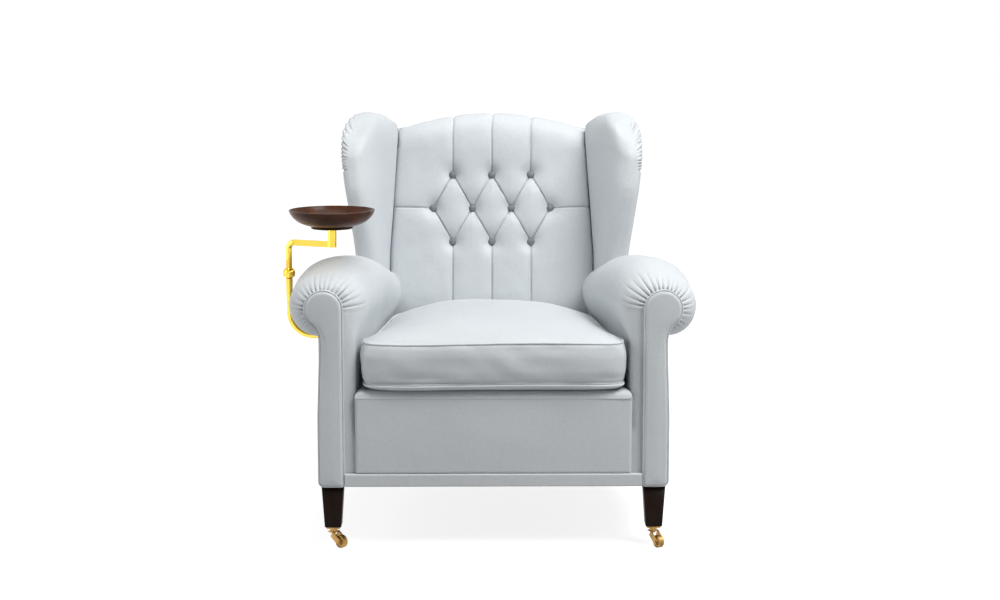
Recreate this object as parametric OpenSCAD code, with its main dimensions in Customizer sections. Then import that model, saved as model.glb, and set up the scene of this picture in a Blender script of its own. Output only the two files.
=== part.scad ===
// Leather wing chair with rolled arms, a loose seat cushion, front casters and a swivel tray.
// Millimetres, +Z up. The front faces -Y and the tray arm stands on the -X side.
// Each piece is drawn with x = 0 on the chair's middle and y = 0 on the front of the arm facings,
// then placed so that the middle of the whole footprint is at the origin.

/* [Seat] */
// Clear width between the inside arms at the front
seat_w = 608; // [560:1:640]
// How much narrower each inside arm wall makes the seat at the back
seat_taper = 64; // [40:1:80]
// From the front of the facings to the back frame, at the hinge height of the recline
seat_d = 620; // [590:1:660]
// Height from the underside of the body to the top of the spring deck
deck_h = 212.5; // [190:0.5:230]
// Thickness of the padded deck over the springs
deck_t = 22; // [16:1:30]
// Height of the narrow band round the foot of the front
band_h = 29; // [20:1:40]
// Height above the floor at which the depth of the seat is measured
hinge_z = 460; // [445:1:475]
// Lean of the back from upright
recline = 11; // [8:0.5:14]

/* [Cushion] */
// Height of the cushion's border between its two seams
cushion_border = 88; // [70:1:100]
// Rise of the crowned top above the upper seam
cushion_crown = 48; // [30:1:58]
// Gap between the cushion and the arm on each side
cushion_gap = 4; // [3:0.5:8]
// How far the cushion's front stands out past the facings
cushion_over = 14; // [5:1:25]

/* [Arms] */
// Height of the middle of the arm's scroll above the floor
scroll_z = 533; // [515:1:550]
// Radius of the scroll at the top of the facing
scroll_r = 42.5; // [38:0.5:46]
// Width of the arm leather that shows between the seat and the facing
strip_w = 23; // [16:1:30]
// Width of the facing at its foot
facing_w = 57; // [52:1:64]
// Width of the facing at its neck
neck_w = 52; // [46:1:56]
// Thickness of the facing
facing_t = 14; // [10:1:18]
// Width of the welt round the facing
welt_w = 3; // [2:0.5:4]
// Rise of the roll above the scroll's middle
roll_up = 86; // [78:1:96]
// How far the roll stands out past the scroll's middle
roll_out = 86; // [76:1:92]
// How far the roll leans in over the seat at the back
roll_in = 82; // [70:1:90]
// Length of the gathered front edge of the roll
roll_edge = 62; // [45:1:80]
// How far the outside of the body bows out past the facing
side_bow = 13; // [6:1:18]
// Thickness of the outside panels
panel_t = 8; // [5:1:11]

/* [Back and wings] */
// Height of the top of the back at its middle
back_top = 924; // [890:1:950]
// Drop of the back's top from its middle to the wings
back_arch = 42; // [25:1:55]
// Width of the back pad between the wings at the top
back_w = 470; // [450:1:490]
// Thickness of the back pad
pad_t = 70; // [55:1:80]
// Sideways distance between buttons in one row
tuft_x = 97; // [85:1:105]
// Distance between the button rows
tuft_z = 84; // [75:1:92]
// Height of the middle button row above the hinge height of the recline
tuft_mid = 228; // [215:1:240]
// Depth of the pad at a button
tuft_dip = 15; // [8:1:20]
// Diameter of a button
button_d = 19; // [14:1:24]
// Height of the wing's peak above the floor
wing_top = 936; // [915:1:960]
// How far the wing's front edge reaches ahead of the back frame
wing_reach = 262; // [230:1:275]
// Thickness of the padded wing
wing_t = 62; // [50:1:70]
// How far the wing flares out past the back pad at the front
wing_flare = 133; // [120:1:145]

/* [Timber frame] */
// Thickness of the seat rails
rail_t = 25; // [20:1:32]
// Height of the seat rails
rail_h = 98; // [80:1:110]
// Width of the front posts
post_w = 40; // [34:1:46]
// Width of the back posts
back_post_w = 50; // [40:1:56]
// Depth of the back frame
frame_t = 45; // [36:1:55]
// Thickness of the wing's inner board
wing_board_t = 20; // [14:1:26]

/* [Springs and webbing] */
// Diameter of a seat spring
spring_d = 78; // [60:1:90]
// Wire of a seat spring
spring_wire = 4; // [3:0.5:5]
// Turns of a seat spring
spring_turns = 5; // [4:1:6]
// Width of the webbing straps
web_w = 50; // [40:1:60]
// Thickness of one webbing strap
web_t = 1; // [0.8:0.1:1.5]
// Thickness of the dust cloth under the seat
cloth_t = 1; // [0.8:0.1:1.5]

/* [Legs and casters] */
// Height of a leg
leg_h = 95; // [80:1:120]
// Width of a leg at its top
leg_top = 48; // [42:1:52]
// Width of a leg at its foot
leg_foot = 37; // [32:1:40]
// Backward splay of the rear legs
leg_splay = 62; // [40:1:80]
// Diameter of a caster wheel
wheel_d = 28; // [24:1:32]
// Width of a caster wheel
wheel_w = 14; // [10:1:16]
// Distance of the wheel's axle from the swivel pin
trail = 24; // [20:1:28]
// Width of the square caster plate
plate_w = 29; // [26:1:32]
// Thickness of the caster plate
plate_t = 3.8; // [3:0.1:5]
// Height from the top of the wheel to the foot of the leg
caster_neck = 17; // [15:0.5:20]
// Radius of the swivel pin
pin_r = 3; // [2.5:0.1:3.5]
// Radius of the wheel's axle
axle_r = 2; // [1.5:0.1:2.5]
// Resting heading of the left caster
left_heading = -41; // [-90:1:90]
// Resting heading of the right caster
right_heading = -65; // [-90:1:90]

/* [Tray and bracket] */
// Distance of the bracket's rod behind the facings
rod_y = 250; // [200:1:300]
// Radius of the bracket's rod
rod_r = 6.3; // [5:0.1:7.5]
// Radius of the rod's bend under the arm roll
rod_bend = 55; // [50:1:60]
// Air between the rod and the arm roll
rod_gap = 6; // [5:1:14]
// Drop from the scroll's middle to the rod's lower end
rod_drop = 98; // [92:1:110]
// Height of the pivot ball's middle above the scroll's middle
ball_rise = 48; // [42:1:60]
// Radius of the pivot ball
ball_r = 14; // [12:0.5:16]
// Radius of the swivel arm's pivot
pivot_r = 7; // [5.5:0.1:8]
// Length of the swivel arm between its two pivots
arm_len = 113; // [95:1:130]
// Resting heading of the swivel arm
arm_heading = -24; // [-60:1:0]
// Height of the flat bar of the swivel arm
bar_h = 14; // [10:1:18]
// Radius of the tray post
post_r = 10; // [8.5:0.5:12]
// Height of the tray post
post_h = 41; // [34:1:50]
// Radius of the tray's stem
stem_r = 5; // [4:0.5:6]
// Diameter of the tray
tray_d = 195; // [170:1:215]
// Height of the tray
tray_h = 42.5; // [34:0.5:50]
// Thickness of the tray's wood
tray_t = 6; // [4:0.5:8]
// Diameter of the tray's foot
foot_d = 95; // [80:1:110]
// Height of the leaf that is screwed to the chair's side
leaf_h = 58; // [50:1:70]
// Width of the leaf
leaf_w = 24; // [20:1:30]
// Thickness of the leaf
leaf_t = 5; // [4:0.5:6]

/* [Hidden] */

$fn = 48;
leather = [0.80, 0.84, 0.87];
beech = [0.84, 0.70, 0.50];
wenge = [0.13, 0.08, 0.06];
walnut = [0.35, 0.19, 0.10];
brass = [0.90, 0.68, 0.22];

// Clearances: soft pieces beside each other, running fits, and the overrun of a cut
soft_gap = 0.3;
run_gap = 0.05;
side_play = 0.5;
over = 5;

// Heights
floor_gap = wheel_d + caster_neck;
body_z = floor_gap + leg_h;
band_z = body_z + band_h;
deck_z = body_z + deck_h;
deck_under = deck_z - deck_t;
web_z = body_z + cloth_t;
rail_z = web_z + 2*web_t;
rail_top = rail_z + rail_h;

// Places across the chair, from its middle
in_x = seat_w/2;
facing_x0 = in_x + strip_w;
facing_x1 = facing_x0 + facing_w;
scroll_x = facing_x0 + scroll_r;
post_set = 7;
post_x0 = facing_x0 + post_set;
post_x1 = post_x0 + post_w;
back_half = back_w/2;
back_post_set = 27;
back_post_x0 = back_half + back_post_set;
back_post_x1 = back_post_x0 + back_post_w;
rear_x = back_post_x1 + soft_gap + panel_t;
pad_low_half = in_x - roll_in;

// Places front to back
arm_y0 = facing_t + soft_gap;
rail_set = 3;
rail_y0 = arm_y0 + rail_set;
post_y1 = facing_t + post_w;
rear_y = seat_d + frame_t;

function clamp01(t) = min(1, max(0, t));
function mix(a, b, t) = a + (b - a)*t;
function ease(t) = let (c = clamp01(t)) c*c*(3 - 2*c);

// Front face of the reclined back frame at a height
function frame_y(z) = seat_d + (z - hinge_z)*tan(recline);
// Height of a point that lies w up the reclined frame
function frame_z(w) = hinge_z + w*cos(recline);
function frame_w(z) = (z - hinge_z)/cos(recline);

// Stands its children in the reclined plane of the back: y is depth behind the frame's front,
// z runs up the frame from the hinge height
module reclined() {
    translate([0, seat_d, hinge_z]) rotate([-recline, 0, 0]) children();
}

// A closed solid through rings of points. Point i and point n-1-i of a ring lie across from each
// other, so that the two ends close as strips
module loft(rings) {
    n = len(rings[0]);
    m = len(rings);
    last = (m - 1)*n;
    walls = [for (j = [0 : m - 2], i = [0 : n - 1])
        let (a = j*n + i, b = j*n + (i + 1) % n)
        each [[a, a + n, b], [b, a + n, b + n]]];
    ends = [for (i = [0 : n/2 - 2])
        each [[i, i + 1, n - 1 - i], [i + 1, n - 2 - i, n - 1 - i],
              [last + i, last + n - 1 - i, last + i + 1],
              [last + i + 1, last + n - 1 - i, last + n - 2 - i]]];
    polyhedron([for (ring = rings, p = ring) p], concat(walls, ends), convexity = 8);
}

// Draws a piece on one side: side = 1 is +X, side = -1 is its mirror image
module on_side(side) {
    if (side > 0) children();
    else mirror([1, 0, 0]) children();
}

// A prism across the chair from x0 to x1 with an outline given in y and z
module across(x0, x1, outline) {
    translate([x0, 0, 0]) rotate([90, 0, 90]) linear_extrude(x1 - x0) polygon(outline);
}

// A board standing in the reclined frame, between two heights above the floor
module frame_board(x0, x1, v0, v1, z0, z1) {
    across(x0, x1, [[frame_y(z0) + v0, z0], [frame_y(z0) + v1, z0],
                    [frame_y(z1) + v1, z1], [frame_y(z1) + v0, z1]]);
}

// Everything behind the rear face of the back frame
module behind_frame(v) {
    reclined() translate([-seat_w, v, -hinge_z*2]) cube([seat_w*2, seat_d, hinge_z*5]);
}

// Lines of the body in plan
function wall_x(y) = in_x - seat_taper*clamp01(y/seat_d);
rail_rear_x = back_post_x1 - rail_t;
function rail_x(y) = mix(post_x0, rail_rear_x, clamp01((y - post_y1)/(seat_d - post_y1)));
side_turn_share = 0.45;
function side_x(y) =
    let (u = clamp01(y/rear_y), w = pow(max(0, u - side_turn_share)/(1 - side_turn_share), 1.6))
    mix(facing_x1 + side_bow*sin(180*u), rear_x, w);

// The rolled arm: how its size runs from front to back, as shares
roll_out_shares = [[0, 0.90], [0.12, 0.93], [0.38, 1], [0.60, 0.88], [0.76, 0.60], [0.90, 0.12],
                   [1, -0.38]];
roll_in_shares = [[0, 0.25], [0.12, 0.32], [0.36, 0.56], [0.55, 0.74], [0.72, 0.89], [0.86, 1], [1, 1]];
roll_up_shares = [[0, 0.74], [0.12, 0.84], [0.36, 0.98], [0.55, 0.86], [0.72, 0.62], [0.88, 0.40], [1, 0.30]];
roll_lean_shares = [[0, 0.18], [0.12, 0.23], [0.36, 0.29], [0.55, 0.41], [0.72, 0.56], [0.88, 0.82],
                    [1, 1]];
roll_lean = 84;
neck_drop = 68;
neck_z = scroll_z - neck_drop;
wall_top_drop = 90;
tuck = 4;

function roll_x(y) = let (q = front_round(y), t = y/rear_y)
    mix(scroll_x + scroll_r - tuck, scroll_x + roll_out*lookup(t, roll_out_shares), q);
function front_round(y) = let (e = clamp01((y - arm_y0)/roll_edge)) sqrt(1 - pow(1 - e, 2));

// One section of the arm at depth y, in x and z: up the inner wall, over the roll and down outside
function arm_ring(y, grow = 0) =
    let (q = front_round(y), t = y/rear_y,
         small = scroll_r - tuck,
         cx = mix(scroll_x, scroll_x - roll_lean*lookup(t, roll_lean_shares), q),
         xo = roll_x(y) + grow,
         xi = mix(scroll_x - small, in_x - roll_in*lookup(t, roll_in_shares), q) - grow,
         zt = mix(scroll_z + small, scroll_z + roll_up*lookup(t, roll_up_shares), q) + grow,
         wi = wall_x(y) - grow,
         wo = rail_x(y) - soft_gap,
         nx = mix(wo, side_x(y) - tuck/2, q),
         nz = mix(scroll_z - small, neck_z, q),
         zw = scroll_z - wall_top_drop,
         z0 = band_z + soft_gap)
    concat(
        [for (k = [0 : 3]) [wi, y, mix(z0, zw, k/3)]],
        [for (k = [1 : 3]) [mix(wi, xi, (1 - cos(45*k))/(1 - cos(180))), y,
                            mix(zw, scroll_z, k/4)]],
        [for (a = [180 : -12.5 : 92.5]) [cx + (cx - xi)*cos(a), y, scroll_z + (zt - scroll_z)*sin(a)]],
        [for (a = [87.5 : -12.5 : 0]) [cx + (xo - cx)*cos(a), y, scroll_z + (zt - scroll_z)*sin(a)]],
        [for (a = [15 : 25 : 90]) [nx + (xo - nx)*cos(a), y, scroll_z - (scroll_z - nz)*sin(a)]],
        [[wo, y, mix(nz - tuck, nz, q)], [wo, y, mix(z0, nz, 0.5)], [wo, y, z0]]);
arm_stations = concat([arm_y0], [for (e = [0.06, 0.18, 0.38, 0.65, 1]) arm_y0 + roll_edge*e],
                      [for (s = [0.2, 0.3, 0.42, 0.55, 0.67, 0.78, 0.88, 0.96, 1.08]) rear_y*s]);

// Facing and welt: the scroll's outline in x and z, grown by g
facing_mid_z = mix(body_z, scroll_z, 0.45);
scroll_end = 40;
function facing_outline(g) =
    let (r = scroll_r + g,
         px = scroll_x + r*cos(scroll_end), pz = scroll_z - r*sin(scroll_end),
         ex = facing_x0 + neck_w + g, ez = neck_z)
    concat(
        [[facing_x0 - g, body_z]],
        [for (a = [180 : -10 : -scroll_end + 10]) [scroll_x + r*cos(a), scroll_z + r*sin(a)]],
        [for (t = [0 : 0.25 : 1])
            [mix(mix(px, ex + tuck/2, t), mix(ex + tuck/2, ex, t), t),
             mix(mix(pz, mix(pz, ez, 0.4), t), mix(mix(pz, ez, 0.4), ez, t), t)]],
        [for (k = [1 : 5]) [mix(facing_x0 + neck_w, facing_x1, ease(k/3)) + g, mix(ez, body_z, k/5)]]);
module facing_plate(g, y, t) {
    translate([0, y + t, 0]) rotate([90, 0, 0]) linear_extrude(t) polygon(facing_outline(g));
}
module arm_facing(side) {
    color(leather) on_side(side) facing_plate(-welt_w, 0, facing_t);
}
module facing_welt(side) {
    color(leather) on_side(side) difference() {
        facing_plate(0, facing_t*0.25, facing_t*0.75);
        facing_plate(-welt_w, -over, facing_t + over*2);
    }
}

// Timber frame
module front_rail() {
    color(beech) translate([-post_x0, rail_y0, rail_z]) cube([post_x0*2, rail_t, rail_h]);
}
module back_rail() {
    color(beech) frame_board(-back_post_x0, back_post_x0, 0, rail_t, rail_z, rail_top);
}
// A rail from the front post to the back post, on the +X side
module long_rail(z, h) {
    difference() {
        translate([0, 0, z]) linear_extrude(h) polygon([
            [post_x0, post_y1], [post_x0 + rail_t, post_y1],
            [back_post_x1, seat_d], [rail_rear_x, seat_d]]);
        behind_frame(0);
    }
}
module side_rail(side) {
    color(beech) on_side(side) long_rail(rail_z, rail_h);
}
post_top = scroll_z - scroll_r*0.6;
module front_post(side) {
    color(beech) on_side(side)
        translate([post_x0, arm_y0, body_z]) cube([post_w, post_y1 - arm_y0, post_top - body_z]);
}
module front_rail_space() {
    translate([0, rail_y0, rail_z]) cube([post_x0, rail_t, rail_h]);
}
crest_drop = 54;
crest_top = frame_z(frame_w(back_top - back_arch) - crest_drop) - frame_t*sin(recline) - soft_gap;
crest_h = 62;
lumbar_z = deck_z + deck_t*1.5;
module back_post(side) {
    color(beech) on_side(side)
        frame_board(back_post_x0, back_post_x1, 0, frame_t, body_z, crest_top);
}
module crest_rail() {
    color(beech) frame_board(-back_post_x0, back_post_x0, 0, frame_t, crest_top - crest_h, crest_top);
}
module lumbar_rail() {
    color(beech) frame_board(-back_post_x0, back_post_x0, 0, rail_t, lumbar_z, lumbar_z + back_post_w);
}
arm_rail_h = 45;
module arm_rail_solid() {
    long_rail(post_top - arm_rail_h, arm_rail_h);
}
module arm_rail(side) {
    color(beech) on_side(side) arm_rail_solid();
}
block_w = 55;
function block_outline() = let (y0 = rail_y0 + rail_t, y1 = y0 + block_w)
    [[post_x0 - soft_gap, y0], [post_x0 - block_w, y0], [rail_x(y1) - soft_gap, y1],
     [post_x0 - soft_gap, post_y1]];
module corner_block() {
    translate([0, 0, rail_z + rail_h*0.25]) linear_extrude(rail_h*0.5) polygon(block_outline());
}
module corner_blocks() {
    color(beech) for (side = [1, -1]) on_side(side) corner_block();
}

// Webbing and springs
strap_shares = [-0.72, -0.24, 0.24, 0.72];
module seat_webbing() {
    long = frame_y(rail_z) + rail_t - rail_y0;
    color("tan") {
        for (k = strap_shares)
            translate([k*back_post_x0 - web_w/2, rail_y0, web_z + web_t]) cube([web_w, long, web_t]);
        for (k = [0.2, 0.4, 0.6, 0.8])
            let (y = rail_y0 + long*k, x = rail_x(y + web_w/2) + rail_t)
            translate([-x, y - web_w/2, web_z]) cube([x*2, web_w, web_t]);
    }
}
spring_shares = [-0.62, 0, 0.62];
spring_rings = 8;
module seat_springs() {
    foot = rail_z + spring_wire/2 + soft_gap;
    rise = deck_under - soft_gap - spring_wire/2 - foot;
    color("silver") for (kx = spring_shares, ky = [0.25, 0.52, 0.79])
        translate([kx*back_post_x0, seat_d*ky, foot]) spring(spring_d/2, rise);
}
// A coil of round wire: rings of four points that climb as they turn
module spring(r, rise) {
    steps = spring_turns*spring_rings;
    loft([for (k = [0 : steps])
        let (a = 360*k/spring_rings, c = r*mix(0.8, 1, abs(2*k/steps - 1)))
        [for (b = [270 : -90 : 0])
            let (w = c + spring_wire/2*cos(b))
            [w*cos(a), w*sin(a), rise*k/steps + spring_wire/2*sin(b)]]]);
}
module dust_cover() {
    inset = post_w;
    color("dimgray") translate([0, 0, body_z]) linear_extrude(cloth_t) polygon([
        [-rail_x(inset), inset + leg_top/2], [rail_x(inset), inset + leg_top/2],
        [back_post_x0 - inset/4, frame_y(body_z)], [inset/4 - back_post_x0, frame_y(body_z)]]);
}

// Padded deck over the springs, with a rounded nose above the apron
nose_y = facing_t*0.3;
apron_y = facing_t*0.4;
module seat_deck() {
    rear = frame_y(deck_under) - pad_t*0.6;
    r = deck_t/2;
    color(leather) {
        translate([0, 0, deck_under]) linear_extrude(deck_t) polygon([
            [soft_gap - wall_x(nose_y + r), nose_y + r], [wall_x(nose_y + r) - soft_gap, nose_y + r],
            [wall_x(rear) - soft_gap, rear], [soft_gap - wall_x(rear), rear]]);
        translate([soft_gap - wall_x(nose_y + deck_t), nose_y + r, deck_under + r]) rotate([0, 90, 0])
            cylinder(r = r, h = (wall_x(nose_y + deck_t) - soft_gap)*2);
    }
}
module apron() {
    half = wall_x(rail_y0) - soft_gap;
    color(leather) translate([-half, apron_y, band_z + soft_gap])
        cube([half*2, rail_y0 - apron_y, deck_under - band_z - soft_gap*2]);
}
module base_band() {
    color(leather) translate([welt_w - facing_x0, facing_t*0.2, body_z])
        cube([(facing_x0 - welt_w)*2, rail_y0 - facing_t*0.2, band_h]);
}

// Seat cushion: a boxed cushion with a crowned top, pinched at its two seams
cushion_z = deck_z + soft_gap;
seam_low_rise = 18;
seam_pinch = 9;
seam_low = cushion_z + seam_low_rise;
seam_top = seam_low + cushion_border;
cushion_y1 = seat_d - pad_t*1.1 - cushion_gap*2;
corner_power = 0.16;
function cushion_ring(z, inset, power = corner_power) =
    let (hy = (cushion_y1 + cushion_over)/2 - inset, cy = (cushion_y1 - cushion_over)/2)
    [for (k = [0 : 47])
        let (a = 360*(k + 0.5)/48,
             y = cy + hy*sign(sin(a))*pow(abs(sin(a)), power),
             hx = wall_x(y) - cushion_gap - inset)
        [hx*sign(cos(a))*pow(abs(cos(a)), power), y, z]];
crown_power = 0.8;
crown_reach_share = 0.85;
foot_shares = [[0, 3.6], [0.3, 1.6], [0.75, 0.6]];
border_shares = [[0, 1], [0.12, 0.35], [0.35, 0], [0.62, 0], [0.86, 0.35], [1, 1]];
crown_shares = [[0.07, 0.19], [0.17, 0.40], [0.31, 0.62], [0.48, 0.80], [0.67, 0.92], [0.86, 0.98], [1, 1]];
module seat_cushion() {
    half = (cushion_y1 + cushion_over)/2;
    color(leather) loft(concat(
        [for (b = foot_shares) cushion_ring(mix(cushion_z, seam_low, b[0]), seam_pinch*b[1])],
        [for (b = border_shares) cushion_ring(mix(seam_low, seam_top, b[0]), seam_pinch*b[1])],
        [for (c = crown_shares)
            cushion_ring(seam_top + cushion_crown*c[1], mix(seam_pinch, half*crown_reach_share, c[0]),
                mix(corner_power, crown_power, c[0]))]));
}

// Tufted back pad, drawn in the reclined plane: x across, v behind the frame's front, w up it
back_flare = 18;
function pad_half(z) =
    let (za = scroll_z + roll_up*0.33, zb = scroll_z + roll_up*0.66, zc = back_top - back_arch*1.5)
    z < zb ? mix(pad_low_half, back_half + back_flare, ease((z - za)/(zb - za)))
           : back_half + back_flare*(1 - clamp01((z - zb)/(zc - zb)));
tuft_cols = 4;
tuft_rows = 4;
low_rows = 6;
pad_lift = 12;
pad_foot = frame_w(deck_z) + pad_lift;
pad_shoulder = frame_w(back_top - back_arch) - crest_drop;
arc_shares = [-0.97, -0.85, -0.60, -0.25, 0.15, 0.58, 0.93];
arc_power = 2.6;
row_low = tuft_mid - tuft_z;
row_high = tuft_mid + tuft_z;
pad_rows = concat(
    [for (k = [0 : low_rows - 1]) mix(pad_foot, row_low, k/low_rows)],
    [for (k = [0 : 2*tuft_rows]) row_low + tuft_z*k/tuft_rows],
    [mix(row_high, pad_shoulder, 0.5), pad_shoulder]);
function pad_column(i, half) =
    let (n = 5*tuft_cols, j = abs(i - n), fixed = 4*tuft_cols, step = tuft_x/2/tuft_cols)
    sign(i - n)*(j <= fixed ? step*j : mix(step*fixed, half, (j - fixed)/tuft_cols));
pad_shares = [[-0.44, 0.78], [0.09, 1.06], [0.61, 1.02], [1, 1], [1.4, 0.96], [1.75, 1]];
function bump(d, w) = exp(-pow(d/w, 2));
// Distance of a lattice value from a fold, in millimetres
fold_run = 1/sqrt(pow(2/tuft_x, 2) + pow(1/tuft_z, 2));
button_rows = [[row_high, [-1, 0, 1]], [tuft_mid, [-1.5, -0.5, 0.5, 1.5]], [row_low, [-1, 0, 1]]];
fold_dip = 8;
fold_w = 9;
button_w = 15;
function fold_depth(x, w) =
    let (r = w - tuft_mid, a = 2*x/tuft_x, b = r/tuft_z,
         near = [for (f = [-1, 1]) each [abs(a + b - f), abs(a - b - f)]],
         far = r >= 0 ? [abs(a + b - 3), abs(a - b + 3)] : [abs(a + b + 3), abs(a - b - 3)],
         flat = abs(a) > 3 ? [abs(r)/fold_run] : [])
    abs(b) <= 1.001
        ? fold_dip*bump(min(concat(near, far, flat))*fold_run, fold_w)
        : fold_dip*0.8*bump(min([for (k = [-1, 0, 1]) abs(x - k*tuft_x)]), fold_w);
function button_dip(x, w) = max([for (row = button_rows, k = row[1])
    bump(norm([x - k*tuft_x, w - row[0]]), button_w)])*(tuft_dip - fold_dip*0.5);
pad_edge = 20;
function pad_face(x, w, half) =
    fold_depth(x, w) + button_dip(x, w) + pad_edge*pow(abs(x)/half, 10)
    - pad_t*lookup(w/tuft_mid, pad_shares);
function pad_arch(x) =
    mix(frame_w(back_top), frame_w(back_top - back_arch), pow(x/back_half, 2));
function arc_rise(u) = pow(1 - pow(abs(u), arc_power), 1/arc_power);
shoulder_row = len(pad_rows) - 1;
pad_back = -2*web_t - soft_gap;
pad_span = (pad_t + frame_t)/(arc_shares[6] + 1);
// One row of the pad's face: straight rows up to the shoulder, then rows that roll over the crest
function pad_row(j) = let (cols = 10*tuft_cols)
    j <= shoulder_row
    ? let (w = pad_rows[j], half = pad_half(frame_z(w)))
        [for (i = [0 : cols]) let (x = pad_column(i, half)) [x, pad_face(x, w, half), w]]
    : let (u = arc_shares[j - shoulder_row - 1], k = (u + 1)*pad_span/(pad_t + frame_t))
        [for (i = [0 : cols]) let (x = pad_column(i, back_half))
            [x, mix(pad_face(x, pad_shoulder, back_half), frame_t, k),
             pad_shoulder + (pad_arch(x) - pad_shoulder)*arc_rise(u)]];
module inside_back_shape() {
    cols = 10*tuft_cols;
    n = cols + 1;
    m = len(pad_rows) + len(arc_shares);
    rows = [for (j = [0 : m - 1]) pad_row(j)];
    s = shoulder_row;
    half = cols/2;
    top = (m - 1)*n;
    g = n*m;
    ledge = g + 2*(s + 1);
    function back(j, right) = g + 2*j + right;
    points = concat([for (row = rows, p = row) p],
        [for (j = [0 : s], i = [0, cols]) [rows[j][i][0], pad_back, rows[j][i][2]]],
        [for (i = [0, cols]) [rows[s][i][0], frame_t, rows[s][i][2]]]);
    face = [for (j = [0 : m - 2], i = [0 : cols - 1]) let (a = j*n + i)
        each [[a, a + n, a + 1], [a + 1, a + n, a + n + 1]]];
    foot = concat([for (i = [0 : half - 1]) [i, i + 1, back(0, 0)]],
        [for (i = [half : cols - 1]) [i, i + 1, back(0, 1)]], [[half, back(0, 1), back(0, 0)]]);
    low_sides = [for (j = [0 : s - 1]) each [
        [j*n, back(j, 0), j*n + n], [j*n + n, back(j, 0), back(j + 1, 0)],
        [j*n + cols, j*n + n + cols, back(j, 1)], [j*n + n + cols, back(j + 1, 1), back(j, 1)],
        [back(j, 0), back(j, 1), back(j + 1, 0)], [back(j, 1), back(j + 1, 1), back(j + 1, 0)]]];
    step = [[s*n, back(s, 0), s*n + n], [back(s, 0), ledge, s*n + n],
        [s*n + cols, s*n + n + cols, back(s, 1)], [back(s, 1), s*n + n + cols, ledge + 1],
        [back(s, 0), back(s, 1), ledge], [back(s, 1), ledge + 1, ledge]];
    high_sides = [for (j = [s + 1 : m - 2]) each [
        [j*n, ledge, j*n + n], [j*n + cols, j*n + n + cols, ledge + 1]]];
    rear = concat([for (i = [0 : half - 1]) [top + i + 1, top + i, ledge]],
        [for (i = [half : cols - 1]) [top + i + 1, top + i, ledge + 1]], [[ledge, ledge + 1, top + half]]);
    polyhedron(points, concat(face, foot, low_sides, step, high_sides, rear), convexity = 10);
}
module inside_back() {
    color(leather) reclined() inside_back_shape();
}
button_h = 8;
button_lip = 3;
button_lift = 3;
module back_buttons() {
    color("slategray") reclined() for (row = button_rows, k = row[1]) {
        x = k*tuft_x;
        step = tuft_x/2/tuft_cols;
        low = pad_face(x, row[0], back_half);
        rim = min([for (d = [-1, 1]) pad_face(x + d*step, row[0], back_half)]);
        seat = low - (low - rim)*min(1, button_d/2/step) - button_lift;
        translate([x, seat, row[0]]) rotate([90, 0, 0]) rotate_extrude() polygon([
            [0, 0], [button_d/2, 0], [button_d/2, button_lip], [button_d*0.4, button_h*0.7],
            [button_d*0.22, button_h*0.93], [0, button_h]]);
    }
}
module back_webbing() {
    w0 = frame_w(lumbar_z);
    w1 = frame_w(crest_top);
    color("tan") reclined() {
        for (k = strap_shares)
            translate([k*back_post_x0 - web_w/2, -web_t, w0]) cube([web_w, web_t, w1 - w0]);
        for (k = [0.2, 0.4, 0.6, 0.8])
            translate([soft_gap - back_post_x0, -2*web_t, mix(w0, w1, k) - web_w/2])
                cube([(back_post_x0 - soft_gap)*2, web_t, web_w]);
    }
}
panel_drop = 8;
module outside_back() {
    foot = frame_w(body_z) - over;
    side = frame_w(back_top - back_arch) - panel_drop;
    rise = frame_w(back_top) - panel_drop - side;
    half = rear_x - panel_t/2;
    color(leather) difference() {
        reclined() translate([0, frame_t + panel_t, 0]) rotate([90, 0, 0]) linear_extrude(panel_t)
            polygon(concat([[-half, foot], [half, foot]],
                [for (k = [0 : 12]) let (u = 1 - k/6) [u*half, side + rise*(1 - u*u)]]));
        translate([-seat_w, 0, body_z - deck_h]) cube([seat_w*2, seat_d*2, deck_h]);
    }
}

// Arms and the flat panels outside them
module arm_cuts() {
    front_rail_space();
    translate([post_x0, 0, body_z]) cube([post_w, post_y1, post_top - body_z]);
    arm_rail_solid();
    frame_board(0, back_post_x0, pad_back, frame_t, body_z, crest_top);
    frame_board(back_post_x0, back_post_x1, 0, frame_t, body_z, crest_top);
    corner_block();
    behind_frame(frame_t);
}
module arm(side) {
    color(leather) on_side(side) difference() {
        loft([for (y = arm_stations) arm_ring(y)]);
        arm_cuts();
    }
}
panel_top = neck_z - soft_gap;
module outside_arm(side) {
    steps = 12;
    color(leather) on_side(side) difference() {
        translate([0, 0, body_z]) linear_extrude(panel_top - body_z) polygon(concat(
            [for (k = [0 : steps]) let (y = mix(arm_y0, rear_y, k/steps)) [side_x(y), y]],
            [for (k = [steps : -1 : 0]) let (y = mix(arm_y0, rear_y, k/steps)) [side_x(y) - panel_t, y]]));
        behind_frame(frame_t);
    }
}

// Wings: sections that climb from inside the arm roll to the rounded top. p runs from the rear
// corner (0) to the front edge (1), t from the foot (0) to the top (1)
wing_z = scroll_z + roll_up*0.04;
wing_reach_shares = [[0, 0.70], [0.24, 0.82], [0.43, 0.92], [0.65, 1], [0.81, 1], [0.92, 0.95], [1, 0.82]];
wing_flare_shares = [[0, 0.68], [0.24, 0.78], [0.43, 0.865], [0.65, 0.96], [0.81, 1], [0.92, 0.99],
                     [1, 0.93]];
wing_top_shares = [[0, 0.02], [0.3, 0.2], [0.6, 0.85], [0.75, 1], [0.9, 0.7], [1, 0.1]];
wing_depth_shares = [0, 0.13, 0.27, 0.41, 0.54, 0.66, 0.76, 0.84, 0.90, 0.95, 0.982, 0.997];
wing_height_shares = [0, 0.13, 0.27, 0.41, 0.55, 0.68, 0.78, 0.86, 0.92, 0.965, 0.99];
seam_gap = 3.4;
wing_round = 0.80;
wing_crown = 0.86;
wing_side = back_post_x1 + tuck;
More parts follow.
